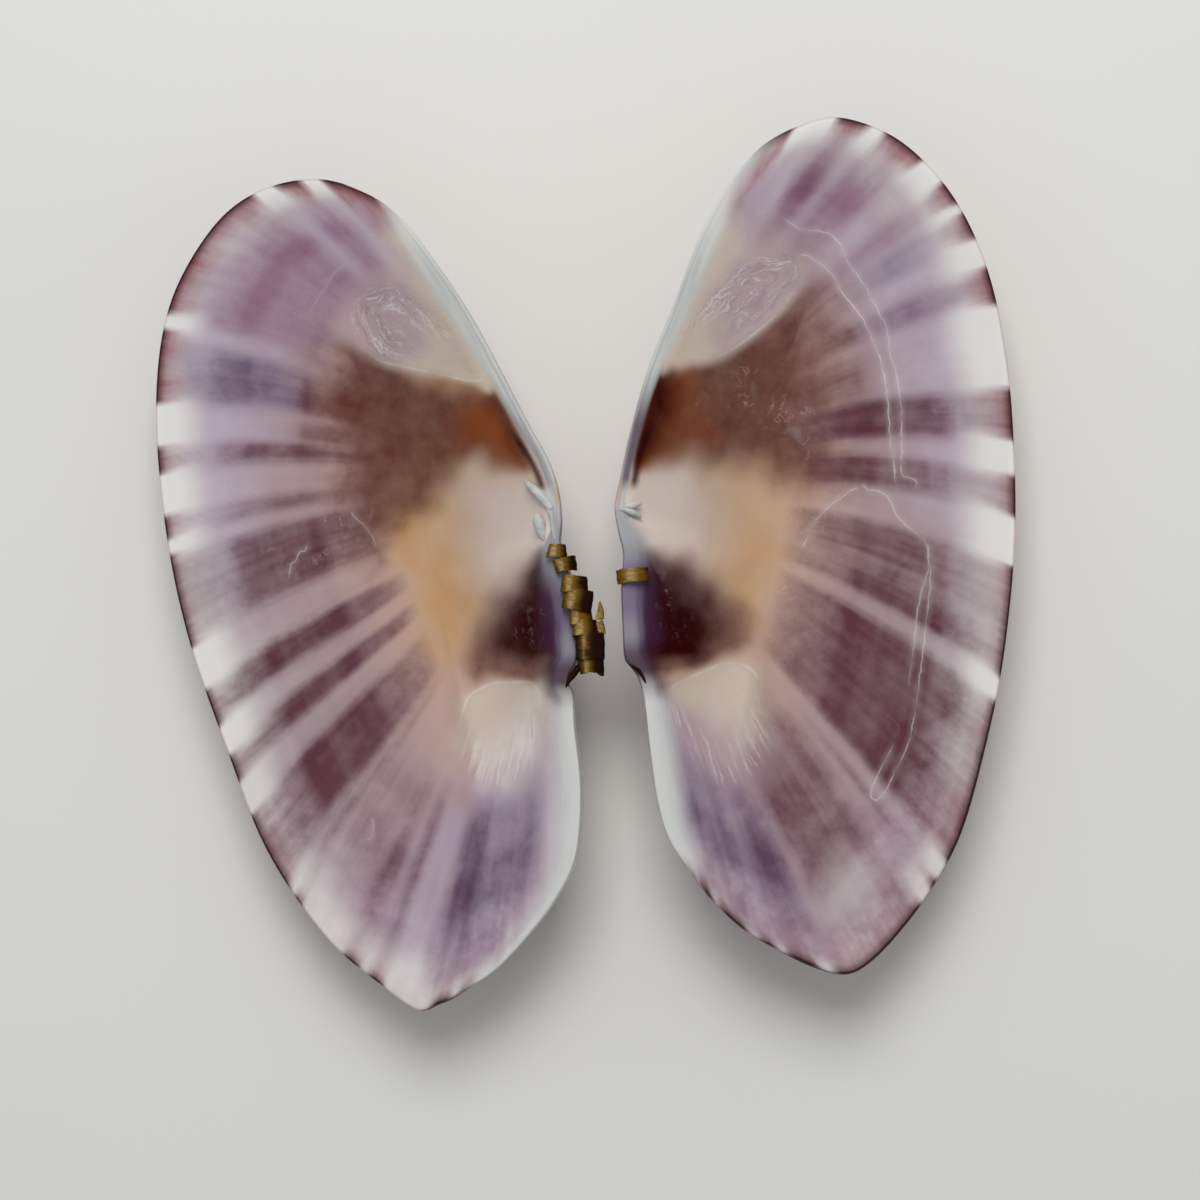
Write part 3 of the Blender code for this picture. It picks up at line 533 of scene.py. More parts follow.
class Look:
    """A material's node tree."""

    def __init__(self, name):
        self.material = bpy.data.materials.new(name)
        self.material.use_nodes = True
        self.nodes = self.material.node_tree.nodes
        self.links = self.material.node_tree.links
        self.shader = self.nodes["Principled BSDF"]

    def feed(self, socket, value):
        if isinstance(value, Value):
            self.links.new(value.socket, socket)
        elif hasattr(value, "__len__") and socket.type == "RGBA":
            socket.default_value = (*value[:3], 1.0)
        else:
            socket.default_value = value

    def node(self, kind, settings=None, inputs=None, output=0):
        """Adds a node: its settings first, a ramp's stops among them, then the values or links of its inputs."""
        made = self.nodes.new(kind)
        for name, setting in (settings or {}).items():
            if name == "stops":
                ramp = made.color_ramp
                while len(ramp.elements) < len(setting):
                    ramp.elements.new(0.5)
                for element, (place, colour) in zip(ramp.elements, setting):
                    element.position = place
                    element.color = (*colour, 1.0)
            else:
                setattr(made, name, setting)
        for name, value in (inputs or {}).items():
            self.feed(made.inputs[name], value)
        return Value(self, made.outputs[output])

    def attribute(self, name):
        return self.node("ShaderNodeAttribute", {"attribute_name": name}, output="Fac")

    def mix(self, share, a, b, blend="MIX"):
        """Colour a with this share of colour b."""
        settings = {"data_type": "RGBA", "blend_type": blend}
        return self.node("ShaderNodeMix", settings, {"Factor": share, 6: a, 7: b}, output=2)

    def point(self, x, y, z=0.0):
        return self.node("ShaderNodeCombineXYZ", inputs={"X": x, "Y": y, "Z": z})

    def millimetres(self):
        """The place on the piece, in millimetres."""
        place = self.node("ShaderNodeTexCoord", output="Object")
        return self.node("ShaderNodeVectorMath", {"operation": "SCALE"}, {0: place, "Scale": 1 / MM})

    def noise(self, place, scale=1.0, detail=3.0, roughness=0.55):
        """Cloudy values about 0, mostly from -0.25 to 0.25."""
        found = self.node(
            "ShaderNodeTexNoise",
            inputs={"Vector": place, "Scale": scale, "Detail": detail, "Roughness": roughness},
        )
        return found - 0.5

    def finish(self, colour, roughness, height=None):
        """Puts the finish on the shader. The height is in millimetres."""
        self.feed(self.shader.inputs["Base Color"], colour)
        self.feed(self.shader.inputs["Roughness"], roughness)
        if height is not None:
            normal = self.node("ShaderNodeBump", inputs={"Height": height, "Distance": MM, "Strength": 1.0})
            self.feed(self.shader.inputs["Normal"], normal)
        return self.material


def smooth_loop(points, steps):
    """A closed smooth curve through the points, with this many steps from each point to the next."""
    here = np.array(points, float)
    before = np.roll(here, 1, axis=0)
    after = np.roll(here, -1, axis=0)
    beyond = np.roll(here, -2, axis=0)
    t = (np.arange(steps) / steps)[None, :, None]
    b, h, a, y = (v[:, None, :] for v in (before, here, after, beyond))
    curve = 2 * h + (a - b) * t + (2 * b - 5 * h + 4 * a - y) * t**2 + (3 * h - b - 3 * a + y) * t**3
    return (curve / 2).reshape(-1, here.shape[1])


def smooth_line(points, steps):
    """An open smooth curve through the points."""
    here = np.array(points, float)
    first = 2 * here[0] - here[1]
    last = 2 * here[-1] - here[-2]
    closed = smooth_loop(np.vstack([first, here, last]), steps)
    return closed[steps : steps * len(here) + 1]


def ease(start, end, values):
    """0 before start, 1 after end, and smooth between. Start may be after end."""
    share = np.clip((values - start) / (end - start), 0, 1)
    return share * share * (3 - 2 * share)


def broad_radii(places):
    """How far the loop is from the middle in each place's direction, without its notches and corners."""
    angles = np.arctan2(places[:, 1], places[:, 0])
    radii = np.hypot(places[:, 0], places[:, 1])
    even = np.linspace(-math.pi, math.pi, BROAD_SAMPLES, endpoint=False)
    waves = np.fft.rfft(np.interp(even, angles, radii, period=2 * math.pi))
    waves *= np.exp(-((np.arange(len(waves)) / BROAD_WAVES) ** 2) / 2)
    return np.interp(angles, even, np.fft.irfft(waves, BROAD_SAMPLES), period=2 * math.pi)


def grid_normals(grid):
    """Unit normals of a grid of rings, whose columns close up."""
    along = np.roll(grid, -1, axis=1) - np.roll(grid, 1, axis=1)
    across = np.gradient(grid, axis=0)
    normals = np.cross(along, across)
    normals *= np.sign(normals[..., 2:].sum())
    return normals / np.linalg.norm(normals, axis=-1, keepdims=True)


class ValveShape:
    """The rings of points of one valve, in millimetres in its own frame."""

    def __init__(self, valve):
        loop = smooth_loop(valve["outline"], EDGE_STEPS)
        self.margin = loop[:, :2]
        self.edge = np.maximum(loop[:, 2], 0.1)
        self.outwards = self.margin / np.linalg.norm(self.margin, axis=1, keepdims=True)
        self.crest = self.margin - self.outwards * self.edge[:, None]
        steps = range(-CREST_STEPS, CREST_STEPS + 1)
        even = sum(np.roll(self.crest, step, axis=0) for step in steps) / len(steps)
        self.crest += (even - self.crest) * ease(0.7, 1.0, self.edge)[:, None]
        reach = np.linalg.norm(self.crest, axis=1, keepdims=True)
        self.broad = self.crest * broad_radii(self.crest)[:, None] / reach
        self.edge_wall = np.minimum(WALL_THIN_EDGE + WALL_PER_EDGE_WIDTH * self.edge, WALL_MOST)
        beak = np.array(valve["beak"]) / math.hypot(*valve["beak"])
        self.fullness = FULLNESS + FULLNESS_UNDER_BEAK * np.maximum(self.outwards @ beak, 0) ** 2
        self.roll = HINGE_ROLL * ease(0.15, 0.6, self.edge)
        speed = reach[:, 0] + EDGE_FADE * (reach[:, 0] - np.linalg.norm(self.broad, axis=1))
        self.crest_slope = HOLLOW_DEPTH * self.fullness * (1 - self.roll) / speed
        self.crest_width = np.minimum(self.edge * 0.9, CREST_ROUND)

    def rounding(self, gap):
        """How far the crest is rounded off at this distance from it."""
        return self.crest_slope * np.maximum(self.crest_width - abs(gap), 0) ** 2 / (4 * self.crest_width)

    def dish(self, shares, roll=0.0, rounded=0.0):
        """Rings of the hollow face, from the middle at share 0 to the crest at share 1. Roll is how much the face
        rolls over into the flat edge, and rounded how much the crest is rounded off, from 0 to 1."""
        share = np.array(shares)[:, None, None]
        place = (self.broad + (self.crest - self.broad) * share**EDGE_FADE) * share
        depth = 1 - share[..., 0] ** self.fullness
        rolled = (1 + np.cos(math.pi * share[..., 0])) / 2
        gap = np.linalg.norm(self.crest, axis=1) - np.linalg.norm(place, axis=-1)
        return np.dstack([place, -HOLLOW_DEPTH * (depth + (rolled - depth) * roll) - self.rounding(gap) * rounded])

    def shelf(self, shares):
        """Rings of the flat edge, from the crest at share 0 to where the rim rounds off at share 1."""
        rim = self.margin - self.outwards * RIM_ROUND / 2
        share = np.array(shares)[:, None, None]
        place = self.crest + (rim - self.crest) * share
        return np.dstack([place, -self.rounding(share[..., 0] * self.edge)])

    def rim(self):
        """Rings round the rim, from its upper round to its lower one."""
        rings = []
        radius = RIM_ROUND / 2
        for lower in (0, 1):
            for turn in np.linspace(0, math.pi / 2, RIM_RINGS + 1)[(0 if lower else 1) :]:
                angle = turn + lower * math.pi / 2
                place = self.margin - self.outwards * radius * (1 - math.sin(angle))
                height = -radius * (1 - math.cos(angle)) - lower * (self.edge_wall - 2 * radius)
                rings.append(np.column_stack([place, np.broadcast_to(height, len(place))]))
        return np.array(rings[:-1])

    def back(self):
        """Rings of the outer face, from the lower edge of the rim to the middle: the hollow face moved out by the
        wall's thickness."""
        flat = np.dstack([self.margin[None], np.zeros((1, len(self.margin)))])
        front = np.concatenate([flat, self.dish((1.0, *BACK_SHARES))])
        normals = grid_normals(front)
        normals[0] = (0, 0, 1)
        share = np.array((1.0, 1.0, *BACK_SHARES))[:, None, None]
        wall = WALL_MIDDLE + (self.edge_wall[None, :, None] - WALL_MIDDLE) * share**EDGE_FADE
        coarse = front - normals * wall
        coarse[0, :, :2] -= self.outwards * RIM_ROUND / 2
        middle = np.broadcast_to((0, 0, -HOLLOW_DEPTH - WALL_MIDDLE), coarse[:1].shape)
        coarse = np.concatenate([coarse, middle])
        fine = [smooth_line(coarse[:, i], BACK_STEPS) for i in range(coarse.shape[1])]
        return np.stack(fine, axis=1)[:-1]


def margin_distance(valve, bearing):
    """How far the margin is from the beak along each bearing."""
    loop = smooth_loop(valve["outline"], EDGE_STEPS)[:, :2] - valve["pole"]
    angles = np.degrees(np.arctan2(loop[:, 1], loop[:, 0] * valve["out"]))
    first, last = valve["ends"]
    facing = (angles > first - 3) & (angles < last + 3)
    order = np.argsort(angles[facing])
    reach = np.hypot(*loop[facing].T)
    return np.interp(np.clip(bearing, first, last), angles[facing][order], reach[order])


def ring_drift(bearing, growth):
    bearings, drifts = zip(*RING_DRIFT)
    return np.interp(bearing, bearings, drifts) * 4 * growth * (1 - growth)


def place_of(valve, bearing, growth):
    """The place in the valve's frame of each bearing and growth."""
    bearing, growth = np.asarray(bearing, float), np.asarray(growth, float)
    reach = margin_distance(valve, bearing) * growth
    x = valve["pole"][0] + valve["out"] * np.cos(np.radians(bearing)) * reach
    y = valve["pole"][1] + np.sin(np.radians(bearing)) * reach + ring_drift(bearing, growth)
    return np.column_stack([x, y])


def growth_of(valve, places):
    """The bearing and growth of each place in the valve's frame."""
    u = (places[:, 0] - valve["pole"][0]) * valve["out"]
    v = places[:, 1] - valve["pole"][1]
    drift = np.zeros(len(places))
    for _ in range(12):
        bearing = np.degrees(np.arctan2(v - drift, u))
        bearing = np.where(bearing < -150, bearing + 360, bearing)
        growth = np.hypot(u, v - drift) / margin_distance(valve, bearing)
        drift = 0.5 * drift + 0.5 * ring_drift(bearing, np.clip(growth, 0, 1))
    return bearing, growth


def signed_distance(places, line, closed):
    """How far each place is from the line: positive on its left, or inside a closed line. Also where on the line the
    nearest point is, as the number of a point and a share of the step after it."""
    starts = line if closed else line[:-1]
    ends = np.roll(line, -1, axis=0) if closed else line[1:]
    best = np.full(len(places), np.inf)
    side = np.zeros(len(places))
    nearest = np.zeros(len(places))
    for i, (start, end) in enumerate(zip(starts, ends)):
        step = end - start
        to = places - start
        share = np.clip((to @ step) / (step @ step), 0, 1)
        gap = np.linalg.norm(to - share[:, None] * step, axis=1)
        nearer = gap < best
        best[nearer] = gap[nearer]
        side[nearer] = np.sign(step[0] * to[nearer, 1] - step[1] * to[nearer, 0])
        nearest[nearer] = i + share[nearer]
    if closed:
        x, y = places.T
        crossings = np.zeros(len(places), int)
        for start, end in zip(starts, ends):
            spans = (start[1] > y) != (end[1] > y)
            if start[1] != end[1]:
                meets = (end[0] - start[0]) * (y - start[1]) / (end[1] - start[1]) + start[0]
                crossings += spans & (x < meets)
        side = np.where(crossings % 2 == 1, 1.0, -1.0)
    return best * side, nearest


def cover(old, new):
    """Two partial covers laid over each other."""
    return 1 - (1 - old) * (1 - new)


def between(values, first, last, soft):
    """1 between first, the higher, and last, the lower, with soft ends."""
    return ease(last - soft, last + soft, values) * ease(first + soft, first - soft, values)


def ray_cover(ray, bearing, growth, profile=None):
    _, own_profile, strength, soft, inner, outer = ray
    first = np.interp(growth, (0.5, 0.8), (inner[0], outer[0]))
    last = np.interp(growth, (0.5, 0.8), (inner[1], outer[1]))
    growths, strengths = zip(*PROFILES[profile or own_profile])
    along = np.interp(growth, growths, strengths)
    return strength * along * between(bearing, first, last, soft)


def loop_fields(valve, places, loop, steps=5):
    """How far inside the loop of (bearing, growth, softness) each place is, and how soft its edge is there."""
    bearings, growths, softness = zip(*loop)
    edge = np.column_stack([place_of(valve, bearings, growths), softness])
    edge = smooth_loop(edge, steps)
    gap, nearest = signed_distance(places, edge[:, :2], True)
    soft = np.interp(nearest, np.arange(len(edge) + 1), np.append(edge[:, 2], edge[0, 2]))
    return gap, soft


def unsteady(places):
    """The places moved about a little, so that an edge worked out from them wanders."""
    x, y = places.T
    aside = 0.30 * np.sin(1.1 * y + 1.7 * np.sin(0.5 * x)) + 0.16 * np.sin(2.7 * y + 1.3 * x)
    along = 0.30 * np.sin(1.3 * x + 1.5 * np.sin(0.6 * y)) + 0.16 * np.sin(2.9 * x - 1.2 * y)
    return places + np.column_stack([aside, along])


def patch_cover(valve, patch, places):
    _, strength, loop = patch
    gap, soft = loop_fields(valve, places, loop)
    wander = loop_fields(valve, unsteady(places), loop)[0] - gap
    return strength * ease(-1, 1, gap / soft + np.clip(wander / soft, -0.6, 0.6) * ease(0.4, 1.5, soft))


def white_gap(valve, bearing):
    """How many degrees inside a white stretch of the margin each bearing is, or outside one, if negative."""
    found = np.full(len(bearing), -FAR)
    for first, last in valve["white"]:
        found = np.maximum(found, np.minimum(first - bearing, bearing - last))
    return np.clip(found, -FAR, FAR)


def hinge_fields(valve, shape, places):
    """The pale bands on the hinge side, the platform of the ligament, and the inner edge of the flat rim."""
    inset, nearest = signed_distance(places, shape.margin, True)
    nearest = nearest / EDGE_STEPS
    first, last = valve["hinge"]
    side = ease(first - 1.5, first, nearest) * ease(last + 1.5, last, nearest)
    flat = np.interp(nearest, np.arange(len(valve["outline"])), [edge for _, _, edge in valve["outline"]])
    y = places[:, 1]
    widths = np.interp(y, *zip(*BAND_WIDTH))
    front = y > 1.0
    soft = np.where(front, np.interp(y, (8, 17, 20), (0.12, 0.4, 0.6)), 0.55)
    top, bottom = valve["platform"]
    on_platform = ease(top + 1.2, top - 0.4, y) * ease(bottom - 0.7, bottom + 0.4, y)
    front_end, rear_end = valve["band_ends"]
    rear = (1 - on_platform) * ease(rear_end - 1.0, rear_end + 1.2, y)
    band = np.where(front, ease(front_end + 1.2, front_end - 1.0, y), rear)
    return {
        "inset": inset,
        "flat_gap": inset - flat,
        "band_gap": np.clip((widths - inset) / soft, -FAR, FAR),
        "band_share": np.clip(inset / widths, 0, 2),
        "band": side * band,
        "platform": side * on_platform,
        "platform_share": np.interp(y, (bottom, top), (0, 1)),
        "hinge": y - valve["beak"][1],
        "teeth_shade": np.full(len(y), valve["teeth_shade"]),
    }


def inside_fields(valve, shape, places):
    """What the inner face's material and relief need to know at each point. places are on the plane of the margin, as
    the photograph shows them."""
    edge_places = places
    bearing, growth = growth_of(valve, places)
    bearing = bearing - np.interp(bearing, *zip(*valve["turn"])) * np.clip(growth, 0, 1)
    places = place_of(valve, bearing, growth)
    fields = {name: np.zeros(len(places)) for name in PIGMENTS}
    for ray in valve["rays"]:
        fields[ray[0]] = cover(fields[ray[0]], ray_cover(ray, bearing, growth))
    for patch in valve["patches"]:
        fields[patch[0]] = cover(fields[patch[0]], patch_cover(valve, patch, places))
    fields["bearing"] = bearing
    fields["growth"] = growth
    fields["white_gap"] = white_gap(valve, bearing)
    bearings, starts, strengths = zip(*sorted(valve["white_start"]))
    fields["white_start"] = np.interp(bearing, bearings, starts)
    fields["white_strength"] = np.interp(bearing, bearings, strengths)
    fields["white_sharp"] = 1 / np.clip((1 - fields["white_start"]) * 0.6, 0.013, 0.065)
    for name, loop in valve["scars"].items():
        fields[name], _ = signed_distance(places, smooth_loop(place_of(valve, *zip(*loop)), 6), True)
    fields["flecks"] = np.zeros(len(places))
    for loop in valve["flecks"]:
        gap, _ = signed_distance(places, smooth_loop(place_of(valve, *zip(*loop)), 4), True)
        fields["flecks"] = np.maximum(fields["flecks"], ease(-0.8, 1.0, gap))
    for number in range(LINE_COUNT):
        strength, line = valve["lines"][number]
        line = smooth_line(place_of(valve, *zip(*line)), 5)
        gap, nearest = signed_distance(places, line, False)
        along = nearest / (len(line) - 1)
        fields[f"line_{number}"] = np.clip(gap, -FAR, FAR)
        fields[f"line_strength_{number}"] = strength * ease(0, 0.06, along) * ease(1, 0.94, along)
    fields.update(hinge_fields(valve, shape, edge_places))
    return fields


def outside_fields(valve, shape, places):
    bearing, growth = growth_of(valve, places)
    bearing = bearing - np.interp(bearing, *zip(*valve["turn"])) * np.clip(growth, 0, 1)
    rays = np.zeros(len(places))
    for ray in valve["rays"]:
        rays = cover(rays, ray_cover(ray, bearing, growth, "outer"))
    fields = {"bearing": bearing, "growth": growth, "plum": rays, "white_gap": white_gap(valve, bearing)}
    fields.update(hinge_fields(valve, shape, places))
    return fields


def valve_matrix(valve):
    """From the valve's frame to the world, both in millimetres."""
    return Matrix.Translation(valve["place"]) @ Euler((valve["lift"], valve["lean"], 0)).to_matrix().to_4x4()


def turned(points, matrix):
    matrix = np.array(matrix)
    return points @ matrix[:3, :3].T + matrix[:3, 3]


def seen_on_margin_plane(valve, points):
    """Where the photograph's camera sees each point of the hollow against the plane of the margin."""
    eye = np.array(valve_matrix(valve).inverted() @ Vector(CAMERA_PLACE))
    share = -points[:, 2] / (eye[2] - points[:, 2])
    return points[:, :2] + (eye[:2] - points[:, :2]) * share[:, None]


def ring_faces(rings, columns, flip):
    """Quads between rings of points, with a single point before the first ring and one after the last."""
    i = np.arange(columns)
    j = (i + 1) % columns
    quads = []
    for ring in range(rings - 1):
        a = 1 + ring * columns
        b = a + columns
        quads.append(np.column_stack([a + i, a + j, b + j, b + i]))
    last = 1 + (rings - 1) * columns
    fan_in = np.column_stack([np.zeros(columns, int), 1 + j, 1 + i])
    fan_out = np.column_stack([np.full(columns, 1 + rings * columns), last + i, last + j])
    faces = [*fan_in.tolist(), *np.concatenate(quads).tolist(), *fan_out.tolist()]
    return [face[::-1] for face in faces] if flip else faces


def store(mesh, name, values):
    attribute = mesh.attributes.new(name, "FLOAT", "POINT")
    attribute.data.foreach_set("value", np.asarray(values, np.float32))


def relief(fields, sizes):
    """How far the inner face stands out of its plain shape, in millimetres."""
    height = np.zeros(len(fields["growth"]))
    for name in ("scar_front", "scar_rear"):
        height -= sizes.scar_depth / MM * ease(-0.4, 0.9, fields[name])
    for number in range(LINE_COUNT):
        line = np.exp(-((fields[f"line_{number}"] / 0.16) ** 2)) * fields[f"line_strength_{number}"]
        height += sizes.line_height / MM * line
    return height


def tube(points, steps=6, sides=14):
    """A closed tube with rounded ends through (x, y, z, radius) points, as points and faces."""
    line = smooth_line(points, steps)
    middle, radius = line[:, :3], np.maximum(line[:, 3], 0.01)
    along = np.gradient(middle, axis=0)
    along /= np.linalg.norm(along, axis=1, keepdims=True)
    aside = np.cross(along, (0, 0, 1))
    aside /= np.linalg.norm(aside, axis=1, keepdims=True)
    over = np.cross(aside, along)
    turn = np.linspace(0, 2 * math.pi, sides, endpoint=False)[None, :, None]
    step = np.arange(len(line))[:, None, None]
    lumps = 1 + 0.07 * np.sin(0.6 * step + 2 * turn) + 0.04 * np.sin(1.3 * step - 3 * turn + 1)
    radius = radius[:, None, None] * lumps
    rings = middle[:, None] + radius * (np.cos(turn) * aside[:, None] + np.sin(turn) * over[:, None])
    radius = radius.mean(axis=(1, 2))
    first = middle[0] - along[0] * radius[0] * 0.6
    last = middle[-1] + along[-1] * radius[-1] * 0.6
    return np.vstack([first, rings.reshape(-1, 3), last]), ring_faces(len(rings), sides, False)


def build_valve(side, sizes, looks):
    valve = VALVES[side]
    shape = ValveShape(valve)
    dish_shares = np.linspace(0, 1, DISH_RINGS + 1)[1:] ** 0.85
    shelf_shares = np.linspace(0, 1, SHELF_RINGS + 1)[1:]
    front = np.concatenate([shape.dish(dish_shares, shape.roll, 1.0), shape.shelf(shelf_shares)])
    rim = shape.rim()
    back = shape.back()
    columns = front.shape[1]
    front_normals = grid_normals(front).reshape(-1, 3)

    middle = np.array([[0, 0, -HOLLOW_DEPTH]])
    inner_points = np.vstack([middle, front.reshape(-1, 3)])
    inner = inside_fields(valve, shape, seen_on_margin_plane(valve, inner_points))
    inner_points = inner_points + np.vstack([[[0, 0, 1]], front_normals]) * relief(inner, sizes)[:, None]

    outer_points = np.vstack([rim.reshape(-1, 3), back.reshape(-1, 3), [[0, 0, -HOLLOW_DEPTH - WALL_MIDDLE]]])
    outer = outside_fields(valve, shape, outer_points[:, :2])

    clockwise = valve["out"] < 0
    faces = ring_faces(len(front) + len(rim) + len(back), columns, not clockwise)
    first_outer = len(inner_points)
    kinds = [int(min(face) >= first_outer - columns) for face in faces]
    parts = [inner_points, outer_points]
    count = len(inner_points) + len(outer_points)
    for own_side, points in RIDGES:
        if own_side == side:
            ridge_points, ridge_faces = tube(points)
            parts.append(ridge_points)
            faces += [[count + i for i in face] for face in ridge_faces]
            kinds += [2] * len(ridge_faces)
            count += len(ridge_points)

    points = turned(np.vstack(parts), valve_matrix(valve))
    points[:, 2] = np.maximum(points[:, 2], 0)
    mesh = bpy.data.meshes.new(f"{valve['node']}_finished")
    mesh.from_pydata(points * MM, [], faces)
    mesh.validate()
    mesh.shade_smooth()
    for name in inner:
        values = np.zeros(len(points))
        values[:first_outer] = inner[name]
        if name in outer:
            values[first_outer : first_outer + len(outer_points)] = outer[name]
        store(mesh, name, values)
    for look in looks:
        mesh.materials.append(look)
    mesh.polygons.foreach_set("material_index", kinds)
    made = bpy.data.objects.new(mesh.name, mesh)
    bpy.context.scene.collection.objects.link(made)
    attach(made, "root")
    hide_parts(valve["node"])
    return made


# The ground of the inner face, from the beak to the margin: (growth, red, green, blue).
GROUND = (
    (0.00, 228, 214, 204), (0.14, 222, 207, 196), (0.24, 204, 184, 167), (0.33, 198, 170, 148),
    (0.43, 192, 162, 147), (0.51, 188, 160, 151), (0.60, 178, 154, 151), (0.70, 174, 154, 157),
    (0.80, 181, 165, 169), (0.88, 200, 190, 193), (0.95, 218, 212, 211),
)


def hinge_edge(look, colours):
    """The colour of the flat edge on the hinge side: grey in front, violet darkened by painted shade by the teeth,
    violet on the ligament's platform with a painted highlight on its outer strip and painted shade at its rear end, and
    white behind."""
    hinge = look.attribute("hinge")
    inset = look.attribute("inset")
    share = look.attribute("band_share")
    along = look.attribute("platform_share")
    grain = look.noise(look.point(inset * 3, hinge * 0.22), detail=4, roughness=0.6)
    line = (inset + grain * 0.2).bump(0.22, 0.12) * 0.2
    grey = hinge.rise(-1.0, 1.0) * hinge.rise(22.0, 13.0)
    colour = look.mix((grey * (0.8 + grain)).most(0.45), colours.white, colours.steel)
    colour = look.mix((share + grain * 0.6).rise(0.2, 1.2) * hinge.rise(-9.0, -11.0) * 0.3, colour, colours.slate)
    # Painted shade under the teeth: the edge beside them darkened towards deep violet, by as much as the valve's
    # teeth_shade.
    shade_by_teeth = hinge.rise(8.5, 4.5) * hinge.rise(0.7, 1.8)
    shade = look.attribute("teeth_shade")
    colour = look.mix(shade_by_teeth * (share + grain + shade - 0.4).rise(0.1, 0.9) * shade, colour, colours.deep_violet)
    colour = look.mix(hinge.bump(0.8, 1.6) * share.rise(0.7, 0.1) * 0.6, colour, colours.amber)
    colour = look.mix(line * grey, colour, colours.deep_violet)
    colour = look.mix(hinge.bump(-1.2, 2.4) * (0.6 + grain), colour, colours.slate)

    inwards = (inset + grain * 0.7).rise(0.5, 1.5)
    violet = look.mix(inwards, colours.slate, colours.deep_violet)
    # A painted highlight on the platform's outer strip.
    violet = look.mix((1 - inwards) * along.bump(0.36, 0.16) * 0.3, violet, colours.steel)
    violet = look.mix(inwards * along.rise(0.8, 0.3) * 0.45, violet, colours.dark_red)
    # Painted shade at the platform's rear end, under the end of the ligament.
    violet = look.mix(along.rise(0.34, 0.18) * 0.7, violet, colours.dark_red)
    violet = look.mix((inset + grain * 0.5).rise(1.3, 0.4) * along.rise(0.14, 0.02) * 0.5, violet, colours.white)
    violet = look.mix(along.rise(0.66, 0.95) * shade * 0.8, violet, colours.steel)
    return look.mix(look.attribute("platform"), colour, violet)


